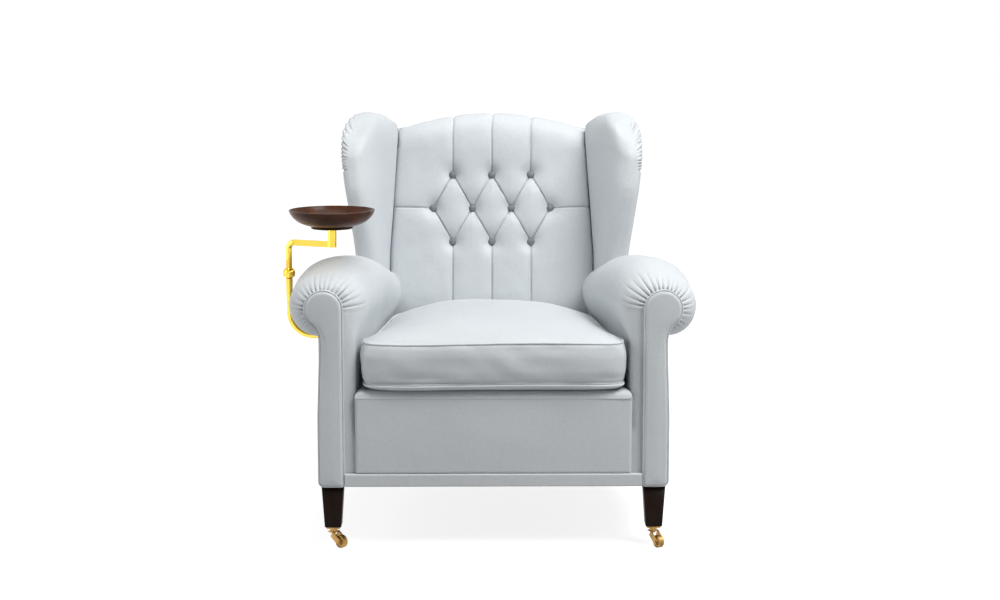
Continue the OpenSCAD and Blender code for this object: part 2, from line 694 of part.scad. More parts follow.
function wing_point_z(p, t) =
    mix(wing_z, mix(back_top - back_arch, wing_top, lookup(p, wing_top_shares)), t);
function wing_y(p, t, z) = frame_y(z) + frame_t - soft_gap
    - p*(frame_t + wing_reach*lookup(t, wing_reach_shares));
function wing_inner(p, t, z) =
    let (seam = pad_half(z) + seam_gap,
         pa = (frame_t + pad_t)/(frame_t + wing_reach*lookup(t, wing_reach_shares)),
         front = back_half + wing_flare*lookup(t, wing_flare_shares) - wing_t)
    mix(seam, front, pow(clamp01((p - pa)/(1 - pa)), 1.15));
function wing_outer(p, t) =
    mix(wing_side, back_half + wing_flare*lookup(t, wing_flare_shares), pow(p, 0.9));
function rounding(u, from) = u <= from ? 1 : sqrt(1 - pow((u - from)/(1 - from), 2));
function wing_pair(p, t) =
    let (z = wing_point_z(p, t), xi = wing_inner(p, t, z), xo = wing_outer(p, t),
         half = (xo - xi)/2*rounding(p, wing_round)*rounding(t, wing_crown),
         mid = (xi + xo)/2,
         y = wing_y(p, t, z))
    [[mid - half, y, z], [mid + half, y, z]];
function wing_ring(t) = concat(
    [for (p = wing_depth_shares) wing_pair(p, t)[0]],
    [for (k = [len(wing_depth_shares) - 1 : -1 : 0]) wing_pair(wing_depth_shares[k], t)[1]]);
board_depth_shares = [0.24, 0.40, 0.58, 0.76, 0.86];
board_height_shares = [0.24, 0.45, 0.65, 0.82];
function board_ring(t) =
    let (edge = [for (p = board_depth_shares) let (q = wing_pair(p, t)) (q[0] + q[1])/2])
    concat([for (e = edge) e - [wing_board_t/2, 0, 0]],
           [for (k = [len(edge) - 1 : -1 : 0]) edge[k] + [wing_board_t/2, 0, 0]]);
module wing_board_solid() { loft([for (t = board_height_shares) board_ring(t)]); }
module wing_board(side) { color(beech) on_side(side) wing_board_solid(); }
module wing(side) {
    color(leather) on_side(side) difference() {
        loft([for (t = wing_height_shares) wing_ring(t)]);
        loft([for (y = arm_stations) arm_ring(y, soft_gap)]);
        arm_cuts();
        wing_board_solid();
    }
}

// Legs: square tapers, the rear pair splayed backwards
post_mid_x = (post_x0 + post_x1)/2;
post_mid_y = (facing_t + post_y1)/2;
rear_leg_x = (back_post_x0 + back_post_x1)/2;
rear_leg_y = frame_y(body_z) + frame_t/2;
leg_chamfer = 3;
function square_ring(x, y, z, w) =
    [for (d = [[-1, -1], [1, -1], [1, 1], [-1, 1]]) [x + d[0]*w/2, y + d[1]*w/2, z]];
module front_leg(side) {
    color(wenge) on_side(side) loft([
        square_ring(post_mid_x, post_mid_y, floor_gap, leg_foot - leg_chamfer*2),
        square_ring(post_mid_x, post_mid_y, floor_gap + leg_chamfer, leg_foot),
        square_ring(post_mid_x, post_mid_y, body_z, leg_top)]);
}
module rear_leg(side) {
    color(wenge) on_side(side) loft([
        square_ring(rear_leg_x, rear_leg_y + leg_splay, 0, leg_foot),
        square_ring(rear_leg_x, rear_leg_y + leg_splay*0.4, body_z*0.5, mix(leg_foot, leg_top, 0.4)),
        square_ring(rear_leg_x, rear_leg_y, body_z, frame_t)]);
}

// Casters: a plate with a swivel pin, a fork that trails, an axle and a wheel.
// Each is drawn round its swivel pin, with the trail along +X
boss_r = 8;
boss_h = 7;
cheek_t = 2.5;
cheek_r = 7;
head_h = 2;
plate_z = floor_gap - plate_t;
boss_top = plate_z - side_play;
boss_foot = boss_top - boss_h;
crown_foot = boss_foot - cheek_t;
cheek_in = wheel_w/2 + side_play;
module at_caster(side, heading) {
    translate([side*post_mid_x, post_mid_y, 0]) rotate([0, 0, heading]) children();
}
module caster_plate(side) {
    head_z = crown_foot - side_play - head_h;
    color(brass) translate([side*post_mid_x, post_mid_y, 0]) {
        translate([-plate_w/2, -plate_w/2, plate_z]) cube([plate_w, plate_w, plate_t]);
        translate([0, 0, head_z]) cylinder(r = pin_r, h = plate_z - head_z);
        translate([0, 0, head_z]) cylinder(r = pin_r*1.7, h = head_h);
    }
}
module caster_fork(side, heading) {
    color(brass) at_caster(side, heading) difference() {
        union() {
            translate([0, 0, boss_foot]) cylinder(r = boss_r, h = boss_h);
            translate([-boss_r, -cheek_in - cheek_t, crown_foot])
                cube([boss_r*2, (cheek_in + cheek_t)*2, cheek_t]);
            for (end = [-1, 1]) caster_cheek(end);
        }
        translate([0, 0, crown_foot - over]) cylinder(r = pin_r + run_gap, h = boss_h + cheek_t + over*2);
        translate([trail, cheek_in + cheek_t + over, wheel_d/2]) rotate([90, 0, 0])
            cylinder(r = axle_r, h = (cheek_in + cheek_t + over)*2);
    }
}
// One cheek: a rounded bar from the crown down to the axle
module caster_cheek(end) {
    z0 = crown_foot - wheel_d/2;
    run = norm([trail, z0]);
    y = end > 0 ? cheek_in + cheek_t : -cheek_in;
    translate([trail, y, wheel_d/2]) rotate([90, 0, 0]) {
        cylinder(r = cheek_r, h = cheek_t);
        rotate([0, 0, 180 - atan(z0/trail)]) translate([0, -cheek_r, 0])
            cube([run - boss_r*0.5, cheek_r*2, cheek_t]);
    }
}
module caster_axle(side, heading) {
    long = cheek_in + cheek_t;
    color(brass) at_caster(side, heading) translate([trail, long, wheel_d/2]) rotate([90, 0, 0]) {
        cylinder(r = axle_r, h = long*2);
        translate([0, 0, -head_h*0.6]) cylinder(r = axle_r*2, h = head_h*0.6);
        translate([0, 0, long*2]) cylinder(r = axle_r*2, h = head_h*0.6);
    }
}
module caster_wheel(side, heading) {
    r = wheel_d/2;
    e = wheel_w*0.12;
    color(brass) at_caster(side, heading) translate([trail, wheel_w/2, r]) rotate([90, 0, 0])
        rotate_extrude() polygon([
            [axle_r + run_gap, 0], [r*0.55, 0], [r*0.6, e], [r*0.8, e], [r - e, 0], [r, e],
            [r, wheel_w - e], [r - e, wheel_w], [r*0.8, wheel_w - e], [r*0.6, wheel_w - e],
            [r*0.55, wheel_w], [axle_r + run_gap, wheel_w]]);
}

// Tray bracket on the -X side: a leaf on the chair's side, a bent rod and the pivot ball
rod_x = roll_x(rod_y) + rod_gap + rod_r;
ball_z = scroll_z + ball_rise;
ball_foot = ball_z - ball_r*0.93;
bend_z = scroll_z - rod_drop + rod_bend;
leaf_x = side_x(rod_y) + soft_gap;
leaf_set = 2;
leaf_top = scroll_z - rod_drop + rod_r + leaf_set;
screw_r = 2;
screw_head_r = 4;
screw_head_h = 1.5;
screw_shares = [0.38, 0.76];
collar_r = rod_r*1.27;
ring_r = 1.5;
sleeve_r = rod_r*1.06;
sleeve_h = 3;
module tray_bracket() {
    color(brass) translate([0, rod_y, 0]) {
        difference() {
            translate([-leaf_x - leaf_t, -leaf_w/2, leaf_top - leaf_h]) cube([leaf_t, leaf_w, leaf_h]);
            for (k = screw_shares) translate([-leaf_x - leaf_t - over, 0, leaf_top - leaf_h*k])
                rotate([0, 90, 0]) cylinder(r = screw_r + run_gap, h = leaf_t + over*2);
        }
        translate([-leaf_x - leaf_t*0.5, 0, scroll_z - rod_drop]) rotate([0, -90, 0])
            cylinder(r = sleeve_r, h = rod_x - rod_bend - leaf_x - leaf_t*0.5 + sleeve_h);
        translate([rod_bend - rod_x, 0, bend_z]) rotate([90, 0, 0])
            rotate([0, 0, 180]) rotate_extrude(angle = 90) translate([rod_bend, 0]) circle(r = rod_r);
        translate([-rod_x, 0, bend_z - sleeve_h]) cylinder(r = sleeve_r, h = sleeve_h*2);
        translate([-rod_x, 0, bend_z]) cylinder(r1 = rod_r, r2 = collar_r, h = ball_foot - bend_z);
    }
}
module bracket_screws() {
    color(brass) for (k = screw_shares)
        translate([-leaf_x, rod_y, leaf_top - leaf_h*k]) rotate([0, -90, 0]) {
            cylinder(r = screw_r, h = leaf_t);
            translate([0, 0, leaf_t]) cylinder(r = screw_head_r, h = screw_head_h);
        }
}
pivot_foot = ball_z - ball_r*0.5;
module pivot_ball() {
    flat = ball_z - ball_foot;
    color(brass) translate([-rod_x, rod_y, ball_z]) difference() {
        union() {
            intersection() {
                sphere(r = ball_r);
                translate([-ball_r, -ball_r, -flat]) cube([ball_r*2, ball_r*2, flat*2]);
            }
            translate([0, 0, -flat*0.5]) rotate_extrude() translate([ball_r*0.9, 0]) circle(r = ring_r);
        }
        translate([0, 0, pivot_foot - ball_z]) cylinder(r = pivot_r + run_gap, h = ball_r*2);
    }
}

// The swivel arm turns in the ball; the tray's stem turns in the post at its far end.
// Both are drawn with the arm along +X from its pivot
module at_swivel() {
    translate([-rod_x, rod_y, 0]) rotate([0, 0, arm_heading]) children();
}
bar_rise = 33;
bar_z = scroll_z + roll_up + bar_rise;
bar_t = 8;
elbow_r = 14;
post_foot = bar_z - bar_h*0.45;
post_head = post_foot + post_h;
module swivel_arm() {
    color(brass) at_swivel() {
        translate([0, 0, pivot_foot + side_play])
            cylinder(r = pivot_r, h = bar_z - elbow_r - pivot_foot - side_play);
        translate([elbow_r, 0, bar_z - elbow_r]) rotate([90, 0, 180])
            rotate_extrude(angle = 90) translate([elbow_r, 0]) circle(r = pivot_r);
        difference() {
            translate([elbow_r, -bar_t/2, bar_z - bar_h/2]) cube([arm_len - elbow_r, bar_t, bar_h]);
            translate([arm_len, 0, bar_z - bar_h]) cylinder(r = post_r, h = bar_h*2);
        }
    }
}
stem_depth = 30;
module tray_post() {
    color(brass) at_swivel() translate([arm_len, 0, 0]) difference() {
        translate([0, 0, post_foot]) cylinder(r = post_r, h = post_h);
        translate([0, 0, post_head - stem_depth]) cylinder(r = stem_r + run_gap, h = stem_depth + over);
    }
}
tray_gap = 2;
tray_z = post_head + tray_gap;
foot_recess = 5;
flange_set = 14;
flange_r = foot_d/2 - flange_set;
flange_t = 3.5;
module tray_stem() {
    neck = post_head + side_play;
    flange = tray_z + foot_recess - flange_t;
    color(brass) at_swivel() translate([arm_len, 0, 0]) {
        translate([0, 0, neck - stem_depth]) cylinder(r = stem_r, h = stem_depth);
        translate([0, 0, neck]) cylinder(r = post_r*0.85, h = flange - neck);
        translate([0, 0, flange]) cylinder(r = flange_r, h = flange_t);
    }
}
tray_outer_shares = [[0.49, 0], [0.50, 0.06], [0.47, 0.11], [0.53, 0.17], [0.64, 0.27], [0.76, 0.42],
                     [0.87, 0.61], [0.95, 0.80], [0.99, 0.93], [1, 0.97], [0.99, 1]];
tray_inner_shares = [[0.965, 1], [0.955, 0.96], [0.90, 0.79], [0.81, 0.61], [0.70, 0.46],
                     [0.60, 0.38], [0.50, 0.35]];
module tray() {
    r = tray_d/2;
    floor_h = foot_recess + tray_t;
    recess_r = foot_d/2 - tray_t;
    function outer_r(k) = k <= 0.5 ? foot_d*k : mix(foot_d/2, r, (k - 0.5)*2);
    function inner_z(k) = mix(floor_h, tray_h, (k - 0.35)/0.65);
    color(walnut) at_swivel() translate([arm_len, 0, tray_z]) rotate_extrude() polygon(concat(
        [[0, foot_recess], [recess_r, foot_recess], [recess_r, 0]],
        [for (k = tray_outer_shares) [outer_r(k[0]), tray_h*k[1]]],
        [for (k = tray_inner_shares) [r*k[0], inner_z(k[1])]],
        [[0, floor_h]]));
}

// The middle of the whole footprint
low_x = -rod_x - ball_r;
high_x = max([for (y = arm_stations) roll_x(y)]);
low_y = min(-cushion_over, post_mid_y - trail - wheel_d/2);
high_y = frame_y(back_top) + frame_t + panel_t;
module placed() {
    translate([-(low_x + high_x)/2, -(low_y + high_y)/2, 0]) children();
}

placed() front_rail();
placed() back_rail();
placed() side_rail(-1);  // side_rail_left
placed() side_rail(1);  // side_rail_right
placed() front_post(-1);  // front_post_left
placed() front_post(1);  // front_post_right
placed() back_post(-1);  // back_post_left
placed() back_post(1);  // back_post_right
placed() crest_rail();
placed() lumbar_rail();
placed() arm_rail(-1);  // arm_rail_left
placed() arm_rail(1);  // arm_rail_right
placed() wing_board(-1);  // wing_board_left
placed() wing_board(1);  // wing_board_right
placed() corner_blocks();
placed() seat_webbing();
placed() seat_springs();
placed() seat_deck();
placed() dust_cover();
placed() back_webbing();
placed() inside_back();
placed() back_buttons();
placed() outside_back();
placed() arm(-1);  // arm_left
placed() arm(1);  // arm_right
placed() outside_arm(-1);  // outside_arm_left
placed() outside_arm(1);  // outside_arm_right
placed() arm_facing(-1);  // arm_facing_left
placed() arm_facing(1);  // arm_facing_right
placed() facing_welt(-1);  // facing_welt_left
placed() facing_welt(1);  // facing_welt_right
placed() wing(-1);  // wing_left
placed() wing(1);  // wing_right
placed() apron();
placed() base_band();
placed() seat_cushion();
placed() front_leg(-1);  // front_leg_left
placed() front_leg(1);  // front_leg_right
placed() rear_leg(-1);  // rear_leg_left
placed() rear_leg(1);  // rear_leg_right
placed() caster_plate(-1);  // caster_plate_left
placed() caster_plate(1);  // caster_plate_right
placed() caster_fork(-1, left_heading);  // caster_fork_left
placed() caster_fork(1, right_heading);  // caster_fork_right
placed() caster_axle(-1, left_heading);  // caster_axle_left
placed() caster_axle(1, right_heading);  // caster_axle_right
placed() caster_wheel(-1, left_heading);  // caster_wheel_left
placed() caster_wheel(1, right_heading);  // caster_wheel_right
placed() tray_bracket();
placed() bracket_screws();
placed() pivot_ball();
placed() swivel_arm();
placed() tray_post();
placed() tray_stem();
placed() tray();
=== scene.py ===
"""Leather wing chair with rolled arms, a tufted back, a loose cushion and a swivel tray.

Lengths in the shape code are millimetres in the chair's own place: x = 0 is the chair's
middle and y = 0 the front of the arm facings. piece() moves a mesh to the model's frame
and turns it to metres. Shapes are worked out for the +X side and mirrored for the other.
"""
import math

import bmesh
import bpy
import numpy as np
from bpy.props import FloatProperty, FloatVectorProperty, IntProperty, PointerProperty
from bpy.types import Operator, Panel, PropertyGroup
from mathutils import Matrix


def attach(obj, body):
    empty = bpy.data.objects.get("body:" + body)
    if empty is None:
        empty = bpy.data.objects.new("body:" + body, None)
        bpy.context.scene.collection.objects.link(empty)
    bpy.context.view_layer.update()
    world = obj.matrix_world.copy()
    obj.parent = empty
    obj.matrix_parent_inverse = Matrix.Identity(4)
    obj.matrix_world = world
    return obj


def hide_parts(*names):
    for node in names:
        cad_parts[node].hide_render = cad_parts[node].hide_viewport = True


bl_info = {
    "name": "Leather wing chair",
    "version": (1, 0, 0),
    "blender": (4, 5, 0),
    "location": "3D View > Sidebar > Chair",
    "description": "Builds a leather wing chair with a tufted back and a swivel tray",
    "category": "Add Mesh",
}

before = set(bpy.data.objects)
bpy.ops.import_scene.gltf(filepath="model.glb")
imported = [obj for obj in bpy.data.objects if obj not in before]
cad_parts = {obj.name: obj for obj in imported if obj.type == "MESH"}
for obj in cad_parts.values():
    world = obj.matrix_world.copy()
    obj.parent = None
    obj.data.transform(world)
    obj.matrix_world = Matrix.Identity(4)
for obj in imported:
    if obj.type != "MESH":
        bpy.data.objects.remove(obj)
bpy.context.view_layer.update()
MM = 0.001
MIDDLE = np.array([14.0291, -374.596, 0.0])
SIDES = {-1: "left", 1: "right"}
QUARTER = math.pi / 2

# Heights and widths that the solids share
BODY_Z, BAND_Z, DECK_Z = 140.0, 169.0, 352.5
IN_X, FACING_X0, FACING_X1 = 304.0, 327.0, 384.0
SCROLL_X, SCROLL_Z, SCROLL_R = 369.5, 533.0, 42.5
NECK_W, NECK_Z, WELT_W = 52.0, 465.0, 3.0
ARM_Y0, REAR_Y, ROLL_EDGE, TUCK = 14.3, 665.0, 62.0, 4.0
ROLL_UP, ROLL_OUT, ROLL_IN, ROLL_LEAN = 86.0, 86.0, 82.0, 84.0
SEAT_D, HINGE_Z, FRAME_T, PAD_T, PANEL_T = 620.0, 460.0, 45.0, 70.0, 8.0
LEAN = math.radians(11.0)
BACK_TOP, BACK_ARCH, BACK_HALF, PAD_LOW_HALF = 924.0, 42.0, 235.0, 222.0
REAR_X, BACK_POST_X1 = 320.3, 312.0
WING_TOP, WING_REACH, WING_T, WING_FLARE, WING_Z = 936.0, 262.0, 62.0, 133.0, 536.4
TUFT_X, TUFT_Z, TUFT_MID = 97.0, 84.0, 228.0
SEAM_LOW, SEAM_TOP, CROWN = 370.8, 458.8, 48.0
CUSHION_Y0, CUSHION_Y1 = -14.0, 533.0


# Small arithmetic

def mix(a, b, t):
    return a + (b - a) * t


def clamp01(t):
    return np.clip(t, 0.0, 1.0)


def ease(t):
    c = clamp01(t)
    return c * c * (3 - 2 * c)


def bump(d, width):
    return np.exp(-(d / width) ** 2)


def curl(t):
    """How far a quarter circle has turned away: 0 at t = 0 and 1 at t = 1."""
    return 1 - np.sqrt(1 - t ** 2)


def coords(*axes):
    """Points from their coordinates, each an array or a single number."""
    return np.stack(np.broadcast_arrays(*axes), axis=-1)


def table(t, pairs):
    """A smooth curve through pairs of place and share, without overshoot."""
    x, y = np.array(pairs, dtype=float).T
    h = np.diff(x)
    d = np.diff(y) / h
    m = np.zeros(len(x))
    m[0], m[-1] = d[0], d[-1]
    for i in range(1, len(x) - 1):
        if d[i - 1] * d[i] > 0:
            w1, w2 = 2 * h[i] + h[i - 1], h[i] + 2 * h[i - 1]
            m[i] = (w1 + w2) / (w1 / d[i - 1] + w2 / d[i])
    t = np.clip(np.asarray(t, dtype=float), x[0], x[-1])
    i = np.clip(np.searchsorted(x, t, side="right") - 1, 0, len(x) - 2)
    s = (t - x[i]) / h[i]
    return ((1 + 2 * s) * (1 - s) ** 2 * y[i] + s * (1 - s) ** 2 * h[i] * m[i]
            + s * s * (3 - 2 * s) * y[i + 1] + s * s * (s - 1) * h[i] * m[i + 1])


def ripple(p, size, seed, waves=14):
    """Smooth seeded noise between about -1 and 1 at points p, with bumps of about size mm."""
    rng = np.random.default_rng(seed)
    total = np.zeros(p.shape[:-1])
    for _ in range(waves):
        way = rng.normal(size=3)
        way *= 2 * math.pi / (size * rng.uniform(1.3, 3.0)) / np.linalg.norm(way)
        total += np.sin(p @ way + rng.uniform(0, 2 * math.pi))
    return total / math.sqrt(waves / 2) * 0.6


def ripples(p, *waves):
    """The sum of several ripples, each given by its height, size and seed."""
    return sum(height * ripple(p, size, seed) for height, size, seed in waves)


def frame_y(z):
    """Front face of the leaning back frame at height z."""
    return SEAT_D + (z - HINGE_Z) * math.tan(LEAN)


def frame_w(z):
    """How far up the leaning back frame the height z lies."""
    return (z - HINGE_Z) / math.cos(LEAN)


def lean_back(x, v, w):
    """Points given across, behind and up the leaning back frame, as places in the chair."""
    return coords(x, SEAT_D + v * math.cos(LEAN) + w * math.sin(LEAN),
                  HINGE_Z + w * math.cos(LEAN) - v * math.sin(LEAN))


def even(path, count, closed=False):
    """The same path with its points spread evenly along it."""
    if closed:
        path = np.concatenate([path, path[:1]])
    d = np.concatenate([[0], np.cumsum(np.linalg.norm(np.diff(path, axis=0), axis=1))])
    t = np.linspace(0, d[-1], count, endpoint=not closed)
    return np.stack([np.interp(t, d, axis) for axis in path.T], axis=-1)


def spline(points, steps):
    """A smooth curve through points."""
    p = np.asarray(points, dtype=float)
    p = np.concatenate([[2 * p[0] - p[1]], p, [2 * p[-1] - p[-2]]])
    t = np.linspace(0, 1, steps, endpoint=False)[:, None]
    out = [0.5 * (2 * b + (c - a) * t + (2 * a - 5 * b + 4 * c - d) * t ** 2
                  + (3 * b - a - 3 * c + d) * t ** 3)
           for a, b, c, d in zip(p, p[1:], p[2:], p[3:])]
    return np.concatenate(out + [p[-2:-1]])


def normals(rows, loop=False):
    """The normal at each point of rows of points."""
    if loop:
        across = np.roll(rows, -1, axis=1) - np.roll(rows, 1, axis=1)
    else:
        across = np.gradient(rows, axis=1)
    n = np.cross(across, np.gradient(rows, axis=0))
    return n / np.maximum(np.linalg.norm(n, axis=-1, keepdims=True), 1e-9)


# Meshes

def turn_outward(mesh):
    """Turns the faces of a mesh so that they look away from its middle."""
    def read(key, size=1):
        values = np.empty(len(mesh.polygons) * size)
        mesh.polygons.foreach_get(key, values)
        return values.reshape(-1, size)

    centre, area = read("center", 3), read("area")
    away = centre - (centre * area).sum(axis=0) / area.sum()
    if (away * read("normal", 3) * area).sum() < 0:
        mesh.flip_normals()


def piece(name, points, faces, material=None, body="chair", replaces=(), slot="leather"):
    """Makes an object of points in mm and faces, and lets it ride on its body."""
    mesh = bpy.data.meshes.new(name)
    place = (points + MIDDLE) * MM
    mesh.from_pydata(place.tolist(), [], [tuple(int(i) for i in f) for f in faces])
    mesh.materials.append(material or chair_leather())
    mesh.shade_smooth()
    mesh.update()
    turn_outward(mesh)
    obj = bpy.data.objects.new(name, mesh)
    bpy.context.scene.collection.objects.link(obj)
    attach(obj, body)
    if replaces:
        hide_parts(*replaces)
    return obj


def grid_faces(rows, columns, loop=False, start=0, flip=False):
    i = np.arange(rows * columns).reshape(rows, columns) + start
    j = np.roll(i, -1, axis=1) if loop else i[:, 1:]
    k = i if loop else i[:, :-1]
    f = np.stack([k[:-1], j[:-1], j[1:], k[1:]], axis=-1).reshape(-1, 4)
    return f[:, ::-1] if flip else f


def capped_faces(rings, columns):
    """The faces through rings of points, with one more face over each end."""
    ends = np.arange(columns)[::-1], np.arange(columns) + (rings - 1) * columns
    return [*grid_faces(rings, columns, loop=True), *ends]


def mirrored(points, side):
    return points.reshape(-1, 3) * np.array([side, 1.0, 1.0])


def surface(name, rows, material=None, side=1, loop=False, flip=False, **rest):
    """A mesh through rows of points, mirrored for the -X side."""
    faces = grid_faces(*rows.shape[:2], loop, flip=(side < 0) != flip)
    return piece(name, mirrored(rows, side), faces, material, **rest)


def merge_points(obj, distance):
    """Joins the points of an object's mesh that lie within a distance of each other."""
    mesh = bmesh.new()
    mesh.from_mesh(obj.data)
    bmesh.ops.remove_doubles(mesh, verts=mesh.verts, dist=distance * MM)
    mesh.to_mesh(obj.data)
    mesh.free()


def welt(name, path, radius=None, side=1, closed=False, sides=8, **rest):
    """A round piping along a path."""
    radius = radius or settings("chair_leather").piping / MM
    if closed:
        way = np.roll(path, -1, axis=0) - np.roll(path, 1, axis=0)
    else:
        way = np.gradient(path, axis=0)
    way /= np.maximum(np.linalg.norm(way, axis=1, keepdims=True), 1e-9)
    up = [0.0, 0.0, 1.0] if abs(way[0][2]) < 0.9 else [0.0, 1.0, 0.0]
    angle = np.arange(sides) * 2 * math.pi / sides
    a = np.cross(way[0], up)
    rings = []
    for middle, along in zip(path, way):
        a = a - along * np.dot(a, along)
        a /= max(np.linalg.norm(a), 1e-9)
        b = np.cross(along, a)
        rings.append(middle + radius * (np.outer(np.cos(angle), a)
                                        + np.outer(np.sin(angle), b)))
    points = np.concatenate(rings)
    if closed:
        # the last ring is joined to the first where their points lie nearest
        last = np.arange(sides) + (len(path) - 1) * sides
        gap = np.linalg.norm(points[:sides] - points[last[0]], axis=1)
        turn = (np.arange(sides) + np.argmin(gap)) % sides
        faces = [*grid_faces(len(path), sides, loop=True),
                 *np.stack([last, np.roll(last, -1), np.roll(turn, -1), turn], axis=-1)]
    else:
        faces = capped_faces(len(path), sides)
    if side < 0:
        faces = [f[::-1] for f in faces]
    return piece(name, mirrored(points, side), faces, **rest)


# Materials

def srgb(*levels):
    """A colour on the usual scale to 255, as linear values."""
    return tuple(c / 255 / 12.92 if c / 255 <= 0.04045 else ((c / 255 + 0.055) / 1.055) ** 2.4
                 for c in levels)


def combine(tree, operation, a, b):
    """A maths node with two linked values."""
    node = tree.nodes.new("ShaderNodeMath")
    node.operation = operation
    tree.links.new(a, node.inputs[0])
    tree.links.new(b, node.inputs[1])
    return node.outputs["Value"]


class Nodes:
    """A material's node tree, with short calls to add and join its nodes."""

    def __init__(self, name):
        self.material = bpy.data.materials.new(name)
        self.material.use_nodes = True
        self.tree = self.material.node_tree
        self.coords = self.tree.nodes.new("ShaderNodeTexCoord").outputs["Object"]

    def fill(self, socket, value):
        """Links an output to an input, or writes a value there."""
        if hasattr(value, "is_linked"):
            self.tree.links.new(value, socket)
        elif isinstance(value, tuple) and len(socket.default_value) == 4:
            socket.default_value = (*value, 1.0)
        else:
            socket.default_value = value

    def add(self, kind, **values):
        """A node with its settings in lower case and its inputs in capitals."""
        node = self.tree.nodes.new("ShaderNode" + kind)
        for key, value in values.items():
            if key.islower():
                setattr(node, key, value)
            else:
                self.fill(node.inputs[key.replace("_", " ")], value)
        return node

    def place(self, scale=(1, 1, 1)):
        return self.add("Mapping", Scale=scale, Vector=self.coords).outputs["Vector"]

    def noise(self, scale, detail=4.0, rough=0.55, warp=0.0, vector=None):
        return self.add("TexNoise", Scale=scale, Detail=detail, Roughness=rough,
                        Distortion=warp, Vector=vector or self.place()).outputs["Fac"]

    def ramp(self, factor, *stops):
        """A colour for each factor, from pairs of place and colour or grey level."""
        node = self.add("ValToRGB", Fac=factor)
        elements = node.color_ramp.elements
        while len(elements) < len(stops):
            elements.new(0.5)
        for element, (at, colour) in zip(elements, stops):
            element.position = at
            element.color = (*np.broadcast_to(colour, 3), 1.0)
        return node.outputs["Color"]

    def spread(self, factor, low, high):
        return self.add("MapRange", Value=factor, To_Min=low, To_Max=high).outputs["Result"]

    def multiply(self, factor, a, b):
        """Colour a darkened by colour b."""
        node = self.add("Mix", data_type="RGBA", blend_type="MULTIPLY")
        for name, value in (("Factor", factor), ("A", a), ("B", b)):
            self.fill([s for s in node.inputs if s.name == name and s.enabled][0], value)
        return [s for s in node.outputs if s.enabled][0]

    def relief(self, height, strength, distance, **under):
        return self.add("Bump", Strength=strength, Distance=distance, Height=height,
                        **under).outputs["Normal"]

    def set(self, **values):
        for key, value in values.items():
            self.fill(self.tree.nodes["Principled BSDF"].inputs[key.replace("_", " ")], value)
        return self.material


def leather(name, colour, grain, crease, shade=0.95):
    """Soft leather: fine pebble grain, slow colour change, painted shade in the folds and a
    faint painted highlight on sharp ridges.
    """
    n = Nodes(name)
    dark = tuple(c * shade for c in colour)
    cloudy = n.ramp(n.noise(5.0, 2.0, 0.4), (0.32, dark), (0.60, colour))
    fine = n.ramp(n.noise(160.0, 5.0, 0.65), (0.3, (0.93, 0.93, 0.935)), (0.7, 1))
    # painted shade: the colour darkens where the surface folds inward (low pointiness) and
    # lightens a little on sharp ridges as a painted highlight
    fold_shade = n.ramp(n.add("NewGeometry").outputs["Pointiness"], (0.40, (0.50, 0.52, 0.54)),
                   (0.487, 1), (0.55, 1), (0.62, 1.03))
    tone = n.multiply(1.0, n.multiply(1.0, cloudy, fine), fold_shade)
    cells = n.add("TexVoronoi", feature="DISTANCE_TO_EDGE", Scale=620.0, Vector=n.place())
    bumps = n.relief(n.ramp(cells.outputs["Distance"], (0.0, 0), (0.12, 1)), grain, 0.00012)
    bumps = n.relief(n.noise(42.0, 6.0, 0.6, 0.8), crease, 0.0012, Normal=bumps)
    bumps = n.relief(n.noise(11.0, 3.0, 0.5, 1.4), crease * 0.7, 0.004, Normal=bumps)
    return n.set(Base_Color=tone, Roughness=n.spread(n.noise(55.0, 4.0), 0.40, 0.56),
                 Normal=bumps, Specular_IOR_Level=0.42, Sheen_Weight=0.06,
                 Sheen_Roughness=0.5)


def wood(name, dark, light, way, scale=1.0, rough=(0.28, 0.42), coat=0.0, gloss=0.5):
    """Wood with long grain along one direction and fine pores."""
    n = Nodes(name)
    stretch = tuple(6.0 * scale if k == way else 90.0 * scale for k in range(3))
    long_grain = n.noise(1.0, 6.0, 0.6, 0.6, n.place(stretch))
    middle = mix(np.array(dark), np.array(light), 0.45)
    colour = n.ramp(long_grain, (0.25, dark), (0.50, middle), (0.75, light))
    pores = n.ramp(n.noise(1.0, 2.0, 0.5, 0.0, n.place(tuple(s * 9 for s in stretch))),
                   (0.36, 0.55), (0.46, 1))
    return n.set(Base_Color=n.multiply(0.75, colour, pores), Coat_Weight=coat,
                 Roughness=n.spread(long_grain, *rough), Normal=n.relief(pores, 0.12, 0.0002),
                 Coat_Roughness=0.16, Specular_IOR_Level=gloss)


def brass(name, colour, tarnish, rough, age):
    """Polished or aged brass with faint polishing marks and darker patches."""
    n = Nodes(name)
    patches = n.noise(38.0, 6.0, 0.62, 0.5)
    tone = n.ramp(patches, (0.36 - age * 0.1, tarnish), (0.46 + age * 0.22, colour))
    return n.set(Base_Color=tone, Metallic=1.0,
                 Normal=n.relief(n.noise(900.0, 2.0, 0.6), 0.05, 0.00008),
                 Roughness=n.spread(patches, rough, rough + 0.10 + 0.16 * age))


def woven(name, warp, weft, pitch):
    """Plain weave: two sets of threads that cross."""
    n = Nodes(name)
    threads = [n.add("TexWave", bands_direction=way, Scale=1.0 / pitch, Distortion=0.6,
                     Vector=n.place()).outputs["Fac"] for way in "XY"]
    cross = combine(n.tree, "MULTIPLY", *threads)
    tone = n.multiply(0.4, n.ramp(cross, (0.05, weft), (0.6, warp)),
                      n.ramp(n.noise(120.0), (0.3, 0.7), (0.7, 1)))
    return n.set(Base_Color=tone, Roughness=0.9, Sheen_Weight=0.2,
                 Normal=n.relief(cross, 0.6, 0.0006))


# Sizes and colours that a user would change

def tint(name, description, *levels):
    """A colour to choose, with its default on the usual scale to 255."""
    return FloatVectorProperty(name=name, description=description, default=srgb(*levels),
                               subtype="COLOR", size=3, min=0, max=1)


